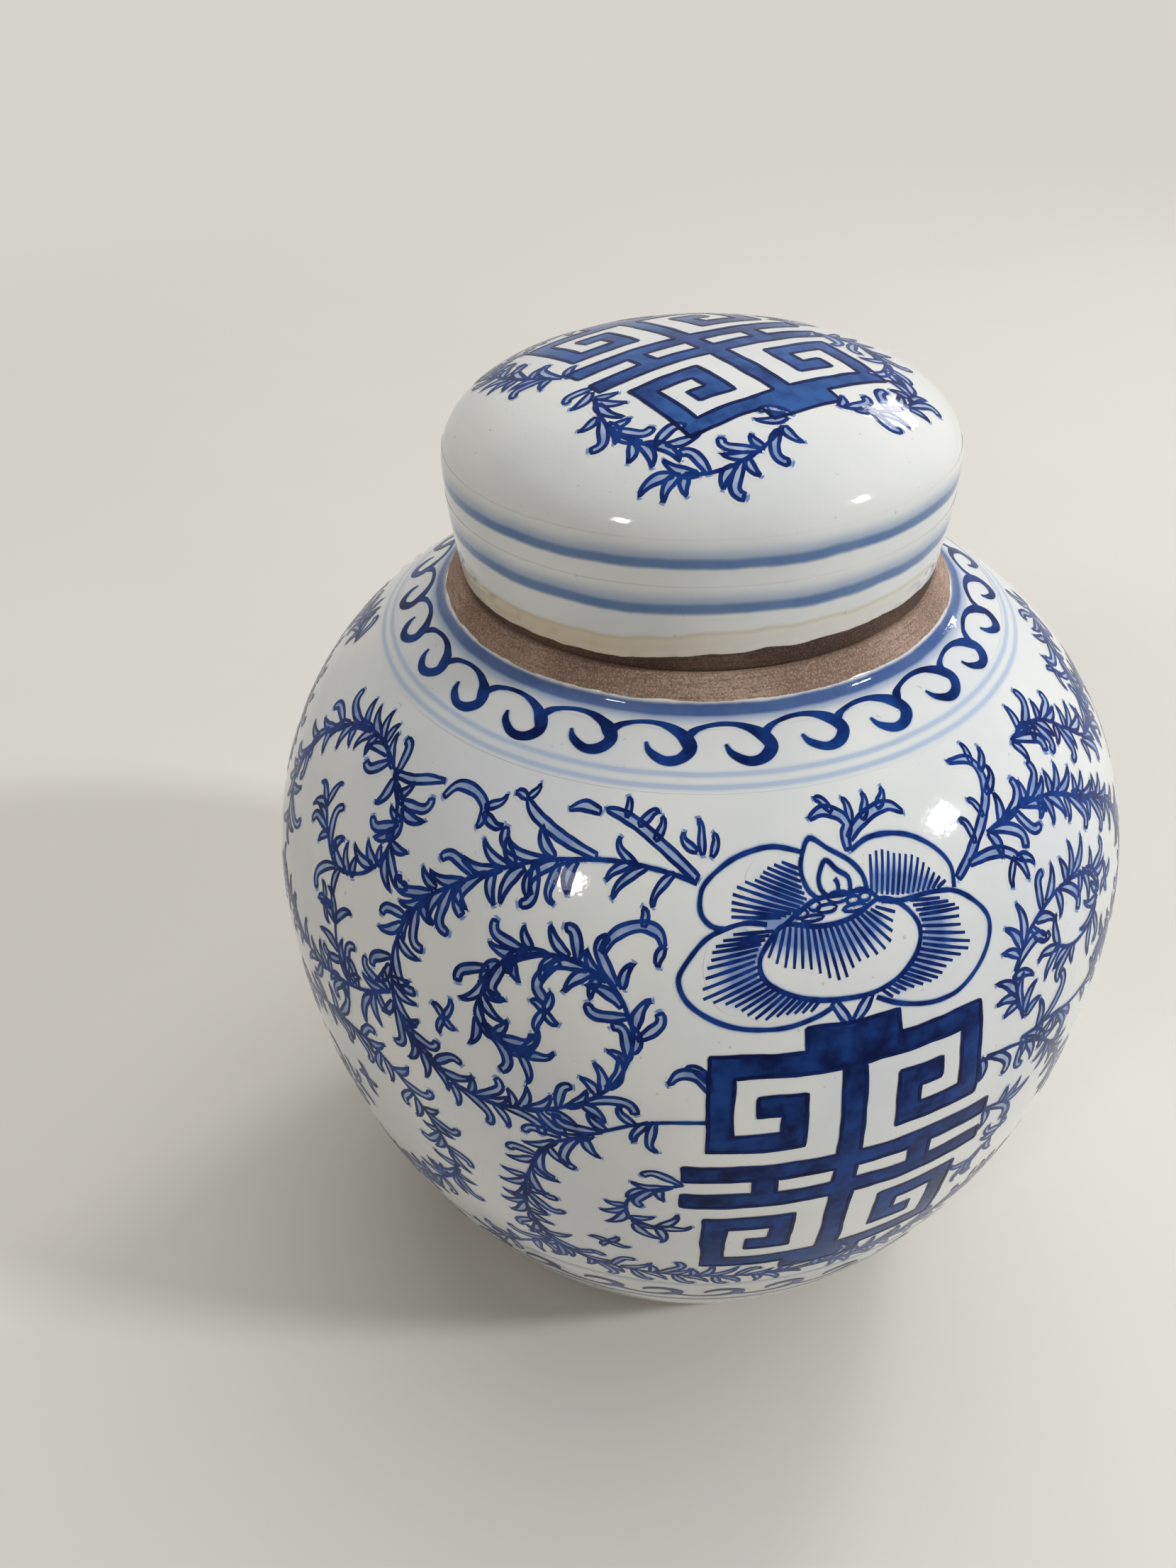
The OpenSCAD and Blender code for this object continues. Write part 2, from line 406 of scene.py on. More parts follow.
def cut_back(path):
    """A stem without the lengths at its start and its end that carry no sprays."""
    lengths = arc_lengths(path)
    first = LEAFLESS_START
    last = lengths[-1] - LEAFLESS_END
    kept = [point for point, mark in zip(path, lengths) if first + CUT_GAP < mark < last - CUT_GAP]
    return [tuple(spot_along(path, first)), *kept, tuple(spot_along(path, last))]


def stem_tips():
    """A small fan of leaves where each stem ends."""
    strokes = []
    for stem in STEMS:
        (x0, y0), (x1, y1) = on_belly(stem)[-2:]
        heading = math.degrees(math.atan2(y1 - y0, x1 - x0))
        for lean, length, hook in TIP_LEAVES:
            strokes.append(leaf((x1, y1), heading + lean, length, lean, hook, TIP_LEAF_HALF_WIDTH))
    return strokes


def loose_shoots():
    strokes = []
    for path in TENDRILS:
        widths = TENDRIL_HALF_WIDTHS[:len(path) - 1] + [TENDRIL_TIP_HALF_WIDTH]
        strokes.append((on_belly(path), widths))
    for (turn, up), heading, length, bend, hook in LOOSE_LEAVES:
        root = (across(turn), up)
        strokes.append(leaf(root, heading, length, bend, hook, LOOSE_LEAF_HALF_WIDTH, LOOSE_TIP))
    for (turn, up), swing in FLORETS:
        root = (across(turn), up)
        for heading, length in FLORET_LEAVES:
            shape = (swing + heading, length, FLORET_BEND, FLORET_HOOK)
            strokes.append(leaf(root, *shape, FLORET_HALF_WIDTH, LOOSE_TIP))
    return strokes


# The open flower over the emblem: its petals' edges, from the flower's centre
FLOWER_TURN = 18
FLOWER_LEVEL = 47
PETAL_EDGES = [
    [(-5.6, 15.6), (-11.6, 17.1), (-17, 16.7), (-22.3, 15), (-27.2, 11.6), (-28.5, 8.8),
     (-28.2, 5.9), (-26, 3.9), (-23.4, 3.5)],
    [(5.4, 14.4), (9.9, 15.8), (15.3, 15.6), (20.7, 13.9), (25.3, 10.5), (27.7, 6.5), (26.9, 2.5)],
    [(-15, 3.9), (-19, 4.4), (-23.4, 3.5), (-27.7, 1.4), (-31.5, -3.1), (-32.5, -6), (-30.9, -9.4),
     (-27.2, -12.2), (-22.3, -14.2), (-17, -15), (-11.6, -14.9), (-6.2, -13.6), (-3, -12.2)],
    [(9.5, 4.6), (14.2, 3.7), (20.7, 3.4), (26.6, 2), (30.9, -1.4), (33.3, -5.4), (32.3, -9.4),
     (28.8, -13.3), (23.9, -16.1), (19.6, -16.7), (15.3, -16.2), (9.9, -14.5), (5.6, -12.2)],
    [(-11.6, 3.5), (-15.3, 0.3), (-16.9, -2.6), (-15.9, -6), (-11.6, -8.8), (-6.2, -10.5),
     (0, -11.2), (5.6, -11.1), (11, -9.4), (15.3, -6), (16.8, -2), (15.3, 1.4), (12.6, 3.9),
     (8.9, 5.1), (4, 3.4), (0, 2.6), (-5, 2.6), (-11.6, 3.5)],
    [(7, 7.1), (6.7, 9.9), (4.6, 12.7), (0.3, 15.5), (-3.6, 17.8), (-6.2, 14.4), (-6.6, 11.6),
     (-5.6, 8.8), (-3.8, 7.3)],
    [(3.2, 7.2), (3.5, 9.9), (1.3, 11.6), (-0.9, 13.6), (-3, 11), (-3, 8.8), (-1.9, 7.6)],
    [(0.4, 10.2), (0.9, 9.2), (0.7, 8.2)],
    [(-11.6, 3.5), (-8, 5.6), (-5, 7), (-2, 7.4), (1.3, 7.2), (4, 7.4), (7, 7.1), (9.5, 4.6)],
]
FLOWER_LINE_HALF_WIDTH = 0.46
PEARL_LINE_HALF_WIDTH = 0.3

# Fans of fine lines: the path that they start on, the path that they end on, and how many there are
HATCH_FANS = [
    ([(-13.4, 3.1), (-16.9, 0.2), (-17.8, -2.3), (-15.4, -6.7), (-8.6, -9.7), (-4.9, -10.5)],
     [(-21.2, 3.0), (-25.8, -0.2), (-27.8, -3.5), (-26.9, -9.0), (-16.2, -13.0), (-6.5, -12.3)], 21),
    ([(15.7, 3.7), (17.5, -0.5), (16.8, -4.9), (12.7, -8.8), (6.3, -11.3)],
     [(22.2, 2.3), (26.9, -1.5), (27.0, -8.5), (19.9, -12.0), (8.0, -13.0)], 20),
    ([(-7.0, 13.4), (-7.0, 9.6), (-6.2, 7.2), (-9.4, 5.5), (-12.6, 4.7)],
     [(-9.9, 14.6), (-19.4, 11.5), (-21, 8.8), (-23.2, 6.4), (-22.8, 4.9)], 12),
    ([(7.2, 6.5), (13.3, 4.8), (19.7, 4.0), (23.4, 3.5)],
     [(8.9, 13.0), (16.5, 12.4), (22.7, 7.7), (25.7, 3.7)], 14),
    ([(-13.2, 3.4), (-7.3, 2.7), (0.9, 2.7), (8.6, 4.0)],
     [(-15.9, -1.5), (-8.9, -4.9), (-0.2, -7.2), (10.5, -2.3), (12.6, 2.8)], 19),
]
HATCH_HALF_WIDTHS = [0.3, 0.36, 0.28]
HATCH_UNEVEN = 0.08
HATCH_RHYTHM = 7.3
# The wash under each fan: the shares of the fan that it runs through, and its half width as a share
# of the lines' length
WASH_SHARES = np.linspace(0.04, 0.9, 13)
WASH_HALF_REACH = 0.47
# Pearls at the flower's heart: centre and half sizes
PEARLS = [((-7.9, 5.1), (1.5, 0.75)), ((-4.9, 6.2), (1.3, 0.9)), ((0.5, 7.0), (2.4, 0.95)),
          ((6.2, 6.1), (1.3, 0.8)), ((-2.4, 5.4), (2.2, 0.7)), ((3.5, 5.9), (1.4, 0.8)),
          ((-5.6, 4.1), (2.4, 0.5)), ((3.6, 4.6), (2.6, 0.6))]
PEARL_POINTS = 8


def on_flower(points):
    return [(across(FLOWER_TURN) + x, FLOWER_LEVEL + y) for x, y in points]


def pearl(centre, size):
    """A small closed oval."""
    turns = [math.tau * (i % PEARL_POINTS) / PEARL_POINTS for i in range(PEARL_POINTS + 1)]
    return [(centre[0] + size[0] * math.cos(t), centre[1] + size[1] * math.sin(t)) for t in turns]


def fan_line(starts, ends, share):
    """Where the line at a share of a fan starts, and how far it reaches."""
    start, end = (spot_along(path, share * arc_lengths(path)[-1]) for path in (starts, ends))
    return start, end - start


def flower_hatching():
    strokes = []
    for starts, ends, count in HATCH_FANS:
        for i in range(count):
            start, reach = fan_line(starts, ends, (i + 0.5) / count)
            reach = reach * (1 + HATCH_UNEVEN * math.sin(HATCH_RHYTHM * i))
            strokes.append((on_flower([start, start + reach / 2, start + reach]), HATCH_HALF_WIDTHS))
    return strokes


def flower_wash():
    """Pale strokes under the hatching, which run so that the lines start on their left side."""
    strokes = []
    for starts, ends, _ in HATCH_FANS:
        lines = [fan_line(starts, ends, share) for share in WASH_SHARES]
        path = [start + reach / 2 for start, reach in lines]
        widths = [WASH_HALF_REACH * float(np.linalg.norm(reach)) for _, reach in lines]
        ahead = path[1] - path[0]
        aside = fan_line(starts, ends, 0)[1]
        if ahead[0] * aside[1] > ahead[1] * aside[0]:
            path.reverse()
            widths.reverse()
        strokes.append((on_flower(path), widths))
    return strokes


# One hook of the running borders, from the level of its middle, with its half widths
HOOK = [(-0.7, 0.2), (0.2, 1.7), (1.9, 2.8), (5.2, 3.5), (8.4, 3.3), (11, 2.3), (13.1, 0.6),
        (14, -1.6), (12.3, -3.6), (9.7, -4.0), (7.1, -2.4), (6.2, -0.5)]
HOOK_HALF_WIDTHS = [0.7, 0.8, 0.5, 0.48, 0.56, 0.86, 1.3, 1.18, 1.0, 0.9, 0.68, 0.18]
RING_POINTS = 17


def ring(radius, level, half_width, sway):
    """A line right round the piece, which may lie a little higher at the front than at the back."""
    turns = np.linspace(-math.pi, math.pi, RING_POINTS)
    return [(turn * radius, level + sway * math.cos(turn)) for turn in turns], half_width


# The belly's emblem: the size of its cells, and its middle in degrees round and millimetres up
EMBLEM_CELL = 2.28
EMBLEM_TURN = 18.5
EMBLEM_LEVEL = -7.5
# The lid's emblem, and the sprigs on its four sides: how far along a side from its middle and how far out
LID_EMBLEM_CELL = 1.9
LID_EMBLEM_TURN = 37
LID_SPRIG = [(7.5, 2.2), (11.5, 4.2), (16, 5.4), (21, 5.6), (25.5, 4.4), (28.5, 2.2)]
LID_SPRIG_SIZES = (1.0, 0.82, 0.92, 1.1, 0.86, 1.0, 1.08, 0.8)


def lid_stems():
    """A pair of stems along each side of the lid's emblem, growing away from the side's middle."""
    half_sizes = (len(FRET_QUARTER) * LID_EMBLEM_CELL, len(FRET_QUARTER[0]) * LID_EMBLEM_CELL)
    strokes = []
    for i, size in enumerate(LID_SPRIG_SIZES):
        side, hand = divmod(i, 2)
        edge = half_sizes[side % 2]
        path = []
        for along, out in LID_SPRIG:
            x = along * size if hand else -along * size
            path.append(swung(x, edge + out * size, LID_EMBLEM_TURN + 90 * side))
        strokes.append((path, STEM_HALF_WIDTH))
    return strokes


# Fret emblem: the rows of one quarter of it as a chart, which is mirrored both ways
FRET_ROWS = (
    "..........####",
    "..############",
    "..##.........#",
    "..##..####...#",
    "..##....##...#",
    "..########...#",
    ".............#",
    "##############",
)
FRET_MIDDLE_ROW = "......##.....#"
FRET_QUARTER = [row for row in FRET_ROWS for _ in range(2)] + [FRET_MIDDLE_ROW]


def fret_mesh(cell, centre, turn):
    half = [row + row[::-1] for row in FRET_QUARTER]
    chart = half + half[::-1]
    corners = {}
    faces = []

    def corner(column, row):
        x, y = swung((column - len(chart[0]) / 2) * cell, (len(chart) / 2 - row) * cell, turn)
        spot = ((centre[0] + x) * MM, (centre[1] + y) * MM, 0)
        return corners.setdefault((column, row), (len(corners), spot))[0]

    for row, line in enumerate(chart):
        for column, mark in enumerate(line):
            if mark == "#":
                low = [corner(column, row + 1), corner(column + 1, row + 1)]
                faces.append(low + [corner(column + 1, row), corner(column, row)])
    mesh = bpy.data.meshes.new("fret_chart")
    mesh.from_pydata([spot for _, spot in corners.values()], [], faces)
    return mesh


# Node trees


class Wire:
    """An output of a node, which sums and products can be written with."""

    def __init__(self, tree, socket):
        self.tree = tree
        self.socket = socket

    def __add__(self, other):
        return maths("ADD", self, other)

    def __sub__(self, other):
        return maths("SUBTRACT", self, other)

    def __rsub__(self, other):
        return maths("SUBTRACT", other, self)

    def __mul__(self, other):
        return maths("MULTIPLY", self, other)

    def __truediv__(self, other):
        return maths("DIVIDE", self, other)


def feed(tree, node, *inputs, **named):
    """Wires or sets a node's inputs, by their order or by their names with _ for a space."""
    sockets = list(node.inputs[:len(inputs)])
    for name in named:
        sockets.append(next(s for s in node.inputs if s.enabled and s.name == name.replace("_", " ")))
    for socket, source in zip(sockets, [*inputs, *named.values()]):
        if isinstance(source, Wire):
            tree.links.new(source.socket, socket)
        else:
            socket.default_value = source


def put(tree, kind, *inputs, **named):
    """Adds a node and gives the wires from its outputs by name.

    A name in lower case is a setting of the node, and one with a capital is an input.
    """
    node = tree.nodes.new(kind)
    for key in [key for key in named if key.islower()]:
        setattr(node, key, named.pop(key))
    feed(tree, node, *inputs, **named)
    return {socket.name: Wire(tree, socket) for socket in node.outputs if socket.enabled}


def made(tree, kind, *inputs, **named):
    """Adds a node and gives the wire from its first output."""
    return next(iter(put(tree, kind, *inputs, **named).values()))


def maths(operation, a, b=0.0):
    tree = (a if isinstance(a, Wire) else b).tree
    return made(tree, "ShaderNodeMath", a, b, operation=operation)


def apart(vector):
    return put(vector.tree, "ShaderNodeSeparateXYZ", vector)


def sockets(kind, *names):
    return [(name, "NodeSocket" + kind) for name in names]


GEOMETRY = sockets("Geometry", "Geometry")
MATERIAL = sockets("Material", "Material")
WRAP_INPUTS = sockets("Object", "Section") + sockets("Float", "Round Radius", "Start", "Lift")
WRAP_INPUTS += sockets("Bool", "From Crown")
RIBBON_INPUTS = sockets("Float", "Step", "Wobble") + sockets("Int", "Bristles")
BRUSH_INPUTS = RIBBON_INPUTS + sockets("Bool", "Outline") + sockets("Float", "Line")
PAINT_INPUTS = WRAP_INPUTS + BRUSH_INPUTS + MATERIAL
# Scales of a stroke's unsteady edge and of a block's wavering outline
WOBBLE_SCALE = 260.0
WAVER_SCALE = 110.0


def new_tree(name, inputs, outputs=GEOMETRY, kind="GeometryNodeTree"):
    """An empty group with named sockets, and the wires from its inputs by name."""
    tree = bpy.data.node_groups.new(name, kind)
    for way, labels in (("INPUT", inputs), ("OUTPUT", outputs)):
        for label, socket_type in labels:
            tree.interface.new_socket(label, in_out=way, socket_type=socket_type)
    return tree, put(tree, "NodeGroupInput")


def give(tree, **results):
    feed(tree, tree.nodes.new("NodeGroupOutput"), **results)
    return tree


def grouped(tree, group, given, passed, **wires):
    """Runs a group, with some of the tree's own inputs passed on to it."""
    wires = {label: given[label] for label, _ in passed} | wires
    return made(tree, "GeometryNodeGroup", node_tree=group, **wires)


def choose(switch, yes, no, kind="FLOAT"):
    ways = {"Switch": switch, "False": no, "True": yes}
    return made(switch.tree, "GeometryNodeSwitch", input_type=kind, **ways)


def marked(geometry, name, vector):
    return made(geometry.tree, "GeometryNodeStoreNamedAttribute", data_type="FLOAT_VECTOR",
                Geometry=geometry, Name=name, Value=vector)


def anchored(points):
    """Marks each point with its own flat place, so that what grows on it keeps its width everywhere."""
    return marked(points, "anchor", made(points.tree, "GeometryNodeInputPosition"))


def drawn_in(thing, whole=False):
    return put(thing.tree, "GeometryNodeObjectInfo", Object=thing, As_Instance=whole)["Geometry"]


def flowing(curves):
    return made(curves.tree, "GeometryNodeCurveSplineType", Curve=curves, spline_type="CATMULL_ROM")


def real(geometry):
    return made(geometry.tree, "GeometryNodeRealizeInstances", Geometry=geometry)


def spun(angle):
    return made(angle.tree, "FunctionNodeAxisAngleToRotation", Axis=(0, 0, 1), Angle=angle)


def wrap_group():
    """Bends a flat drawing round a turned section: x runs round the piece and y runs up the section."""
    tree, given = new_tree("wrap_on_section", GEOMETRY + WRAP_INPUTS)
    section = drawn_in(given["Section"])

    def on_section(length):
        spot = put(tree, "GeometryNodeSampleCurve", Curves=section, Length=length, mode="LENGTH")
        return apart(spot["Position"]), apart(spot["Tangent"])

    start, radius, lift = given["Start"], given["Round Radius"], given["Lift"]
    flat = made(tree, "GeometryNodeInputPosition")
    x, y, _ = apart(flat).values()
    anchor = put(tree, "GeometryNodeInputNamedAttribute", Name="anchor", data_type="FLOAT_VECTOR")
    anchor_x, anchor_y, _ = apart(anchor["Attribute"]).values()
    anchor_place, _ = on_section(start + anchor_y)
    eased_x = anchor_x + (x - anchor_x) * (radius / anchor_place["X"])
    round_x = choose(anchor["Exists"], eased_x, x)
    crown_turn = maths("ARCTAN2", x, y * -1.0)
    crown_reach = maths("SQRT", x * x + y * y)
    turn = choose(given["From Crown"], crown_turn, round_x / radius)
    place, slope = on_section(choose(given["From Crown"], start - crown_reach, start + y))
    out = place["X"] + lift * slope["Z"]
    up = place["Z"] - lift * slope["X"]
    back = out * (maths("COSINE", turn) * -1.0)
    bent = made(tree, "ShaderNodeCombineXYZ", X=out * maths("SINE", turn), Y=back, Z=up)
    kept = marked(given["Geometry"], "flat", flat)
    return give(tree, Geometry=made(tree, "GeometryNodeSetPosition", Geometry=kept, Position=bent))


def ribbon_group():
    """Turns curves into flat brush strokes, as wide as the curve's radius, with an unsteady edge."""
    tree, given = new_tree("brush_ribbon", sockets("Geometry", "Curve") + RIBBON_INPUTS)

    def resampled(curve, **steps):
        return made(tree, "GeometryNodeResampleCurve", Curve=curve, **steps)

    even = resampled(given["Curve"], mode="LENGTH", Length=given["Step"])
    facing = made(tree, "GeometryNodeSetCurveNormal", Curve=even, mode="Z_UP")
    shake = made(tree, "ShaderNodeTexNoise", Scale=WOBBLE_SCALE, Detail=1.0)
    wide = made(tree, "GeometryNodeInputRadius") * ((shake - 0.5) * given["Wobble"] + 1.0)
    line = made(tree, "GeometryNodeCurvePrimitiveLine", Start=(-1, 0, 0), End=(1, 0, 0))
    bristles = resampled(line, mode="COUNT", Count=given["Bristles"])
    profile = marked(bristles, "across", made(tree, "GeometryNodeInputPosition"))
    mesh = made(tree, "GeometryNodeCurveToMesh", Curve=facing, Profile_Curve=profile, Scale=wide)
    look = apart(made(tree, "GeometryNodeInputNormal"))["Z"]
    under = made(tree, "FunctionNodeCompare", operation="LESS_THAN", A=look, B=0.0)
    return give(tree, Geometry=made(tree, "GeometryNodeFlipFaces", Mesh=mesh, Selection=under))


WRAP = wrap_group()
RIBBON = ribbon_group()


def laid_group():
    """Keeps a flat mesh, or only a line round its edge, and lays it on the section."""
    tree, given = new_tree("laid_paint", sockets("Geometry", "Mesh") + WRAP_INPUTS + BRUSH_INPUTS)
    faces = made(tree, "GeometryNodeInputMeshEdgeNeighbors")
    open_edge = made(tree, "FunctionNodeCompare", data_type="INT", operation="EQUAL", A=faces, B=1)
    border = made(tree, "GeometryNodeMeshToCurve", Mesh=given["Mesh"], Selection=open_edge)
    lined = made(tree, "GeometryNodeSetCurveRadius", Curve=border, Radius=given["Line"])
    edge = grouped(tree, RIBBON, given, RIBBON_INPUTS, Curve=lined, Bristles=2)
    kept = choose(given["Outline"], edge, given["Mesh"], "GEOMETRY")
    return give(tree, Geometry=grouped(tree, WRAP, given, WRAP_INPUTS, Geometry=kept))


LAID = laid_group()


def finished(tree, given, geometry):
    """Ends a piece's own tree: one smooth mesh with its material."""
    smooth = made(tree, "GeometryNodeSetShadeSmooth", Geometry=real(geometry))
    coated = made(tree, "GeometryNodeSetMaterial", Geometry=smooth, Material=given["Material"])
    return give(tree, Geometry=coated)


def laid(tree, given, mesh):
    return finished(tree, given, grouped(tree, LAID, given, WRAP_INPUTS + BRUSH_INPUTS, Mesh=mesh))


def brushed(tree, given, curves):
    return laid(tree, given, grouped(tree, RIBBON, given, RIBBON_INPUTS, Curve=flowing(curves)))


def sheet_tree():
    """A turned piece: a flat sheet bent round its section and closed at the seam and the axis."""
    inputs = GEOMETRY + WRAP_INPUTS
    tree, given = new_tree("turned_piece", inputs + sockets("Float", "Weld") + MATERIAL)
    bent = grouped(tree, WRAP, given, inputs)
    closed = made(tree, "GeometryNodeMergeByDistance", Geometry=bent, Distance=given["Weld"])
    return finished(tree, given, closed)


def stroke_tree():
    """Brush strokes drawn once, along curves that run smoothly through their points."""
    tree, given = new_tree("brush_strokes", GEOMETRY + sockets("Object", "Drawing") + PAINT_INPUTS)
    return brushed(tree, given, drawn_in(given["Drawing"]))


def border_tree():
    """One drawn unit repeated in a row round the piece."""
    inputs = sockets("Object", "Unit") + sockets("Int", "Count", "Seed")
    inputs += sockets("Float", "Pitch", "Level", "Unsteady")
    tree, given = new_tree("running_border", GEOMETRY + inputs + PAINT_INPUTS)
    pitch = made(tree, "ShaderNodeCombineXYZ", X=given["Pitch"])
    level = made(tree, "ShaderNodeCombineXYZ", Y=given["Level"])
    row = made(tree, "GeometryNodeMeshLine", Count=given["Count"], Start_Location=level, Offset=pitch)

    def chance(middle):
        low = maths("SUBTRACT", middle, given["Unsteady"])
        high = maths("ADD", middle, given["Unsteady"])
        seed = given["Seed"] + middle
        return made(tree, "FunctionNodeRandomValue", data_type="FLOAT", Min=low, Max=high, Seed=seed)

    copies = made(tree, "GeometryNodeInstanceOnPoints", Points=anchored(row), Scale=chance(1.0),
                  Instance=drawn_in(given["Unit"]), Rotation=spun(chance(0.0)))
    return brushed(tree, given, real(copies))


def chart_tree():
    """A flat chart of square cells, filled or outlined, with edges that waver as if drawn by hand."""
    tree, given = new_tree("charted_block", GEOMETRY + sockets("Float", "Waver") + PAINT_INPUTS)
    finer = made(tree, "GeometryNodeSubdivideMesh", Mesh=given["Geometry"], Level=1)
    drift = put(tree, "ShaderNodeTexNoise", Scale=WAVER_SCALE, Detail=1.0)["Color"]
    drift = made(tree, "ShaderNodeVectorMath", drift, (0.5, 0.5, 0.5), operation="SUBTRACT")
    drift = made(tree, "ShaderNodeVectorMath", drift, operation="SCALE", Scale=given["Waver"])
    level = made(tree, "ShaderNodeVectorMath", drift, (1, 1, 0), operation="MULTIPLY")
    return laid(tree, given, made(tree, "GeometryNodeSetPosition", Geometry=finer, Offset=level))


def joined(tree, pieces):
    node = tree.nodes.new("GeometryNodeJoinGeometry")
    for piece in pieces:
        tree.links.new(piece.socket, node.inputs[0])
    return Wire(tree, node.outputs[0])


def vine_tree():
    """Sprays of leaves along the stems, on alternate sides, turned to the way the stem grows."""
    inputs = sockets("Object", "Stems", *SPRAYS) + sockets("Int", "Seed")
    inputs += sockets("Float", "Spacing", "Smallest", "Largest", "Sway", "Kept Share")
    tree, given = new_tree("leafy_vine", GEOMETRY + inputs + PAINT_INPUTS)
    sprays = joined(tree, [drawn_in(given[name], True) for name in reversed(SPRAYS)])
    stems = flowing(drawn_in(given["Stems"]))
    points = put(tree, "GeometryNodeCurveToPoints", Curve=stems, Length=given["Spacing"], mode="LENGTH")
    ahead = points["Tangent"]
    growth = made(tree, "FunctionNodeAlignRotationToVector", Vector=ahead, axis="X", pivot_axis="Z")
    half_step = given["Spacing"] * -0.5
    behind = made(tree, "ShaderNodeVectorMath", ahead, operation="SCALE", Scale=half_step)

    def grown(side, offset):
        seed = given["Seed"] + side

        def chance(kind, **limits):
            return made(tree, "FunctionNodeRandomValue", data_type=kind, Seed=seed, **limits)

        size = chance("FLOAT", Min=given["Smallest"], Max=given["Largest"])
        sway = spun(chance("FLOAT", Min=given["Sway"] * -1.0, Max=given["Sway"]))
        placed = made(tree, "GeometryNodeSetPosition", Geometry=points["Points"], Offset=offset)
        return made(
            tree, "GeometryNodeInstanceOnPoints",
            Points=anchored(placed),
            Selection=chance("BOOLEAN", Probability=given["Kept Share"]),
            Instance=sprays,
            Pick_Instance=True,
            Instance_Index=chance("INT", Min=0, Max=len(SPRAYS) - 1),
            Rotation=made(tree, "FunctionNodeRotateRotation", growth, sway, rotation_space="LOCAL"),
            Scale=made(tree, "ShaderNodeCombineXYZ", size, size * side, 1.0),
        )

    leaves = joined(tree, [grown(1.0, (0, 0, 0)), grown(-1.0, behind)])
    return brushed(tree, given, real(leaves))


TURNED = sheet_tree()
STROKES = stroke_tree()
BORDER = border_tree()
CHARTED = chart_tree()
VINE = vine_tree()


# Materials


def tint(red, green, blue):
    """A colour written in display values from 0 to 255."""
    def straight(c):
        c /= 255
        return c / 12.92 if c <= 0.04045 else ((c + 0.055) / 1.055) ** 2.4
    return (straight(red), straight(green), straight(blue), 1)


def dimmed(colour, share):
    return tuple(share * c for c in colour[:3]) + (1,)


GLAZE_ROUGHNESS = 0.07
CLAY_ROUGHNESS = 0.8
SKIN_BUMP = 0.12
PAINT_SPECULAR = 0.06
WHITE_COOL = tint(213, 216, 218)
WHITE_PALE = tint(225, 226, 223)
SPECK = tint(150, 146, 140)
CREAM_SLIP = tint(216, 202, 172)
CREAM_TIDE = tint(186, 166, 120)
GLAZE_LIP = tint(238, 235, 227)
FLOOR_COLOUR = tint(214, 211, 205)
FLOOR_DULL = tint(211, 208, 202)
FLOOR_PALE = tint(217, 214, 208)
# How ragged the glaze's edges are, how wide its lip is and how softly each edge fades, in millimetres
EDGE_RAGGED = 1.6
LIP_WIDTH = 1.3
CLAY_SOFT = 0.12
LIP_SOFT = 0.4
SLIP_SOFT = 0.5
# The side of the lid, round from the front, where its clay reaches further up
LEAN_SIDE = math.radians(40)
# How thick the slip lies away from that side and on it, and how wide and strong its tide mark is
SLIP_THICK = 0.95
SLIP_THIN = 0.3
TIDE_HALF_WIDTH = 0.4
TIDE_STRENGTH = 0.4
# A soft line, in half widths: how far it wanders, how far its colour fades and where its halo ends, and
# the share of its colour where it is weakest
BAND_WANDER = 0.4
BAND_FADE = 0.3
HALO_END = 0.95
BAND_WEAKEST = 0.86
# Scales of the unevenness, from the broad to the fine, and those of the glaze itself
EDGE_SLOW_SCALE = 16.0
CLAY_PATCH_SCALE = 55.0
BAND_SCALE = 70.0
EDGE_RAGGED_SCALE = 130.0
FLAKE_SCALE = 420.0
SPECK_SCALE = 900.0
GRIT_SCALE = 1300.0
GRAIN_SCALE = 2600.0
GLAZE_SCALES = {"Slow": 26.0, "Fine": 150.0, "Peel": 700.0}
# Marks of the potter's wheel in the clay: how often they break round the piece, and their scale up it
WHEEL_BREAKS = 24.0
WHEEL_SCALE = 2.2
# How strongly the wheel's marks, the clay's grain and the flakes along the glaze's edge show
WHEEL_STRENGTH = 0.75
GRAIN_STRENGTH = 0.6
FLAKE_STRENGTH = 0.85
# What the clay's grit and the flakes add to the height of the skin
GRIT_HEIGHT = 1.4
FLAKE_HEIGHT = 0.8
# The floor's own roughness, and the distances between which it turns to an even tone, in metres
FLOOR_ROUGHNESS = 0.9
FLOOR_NEAR = 0.35
FLOOR_FAR = 1.6


def blended(factor, first, second):
    return made(factor.tree, "ShaderNodeMix", data_type="RGBA", Factor=factor, A=first, B=second)


def faded(value, low, high):
    """0 below low and 1 above high, with a soft step between."""
    return made(value.tree, "ShaderNodeMapRange", interpolation_type="SMOOTHSTEP",
                Value=value, From_Min=low, From_Max=high)


def ranged(share, low, high):
    """A share from 0 to 1 as a value from low to high."""
    return made(share.tree, "ShaderNodeMapRange", Value=share, To_Min=low, To_Max=high)


def noise(place, scale, detail):
    return made(place.tree, "ShaderNodeTexNoise", Vector=place, Scale=scale, Detail=detail)


def uneven(place, scale, detail, reach):
    return (noise(place, scale, detail) - 0.5) * reach


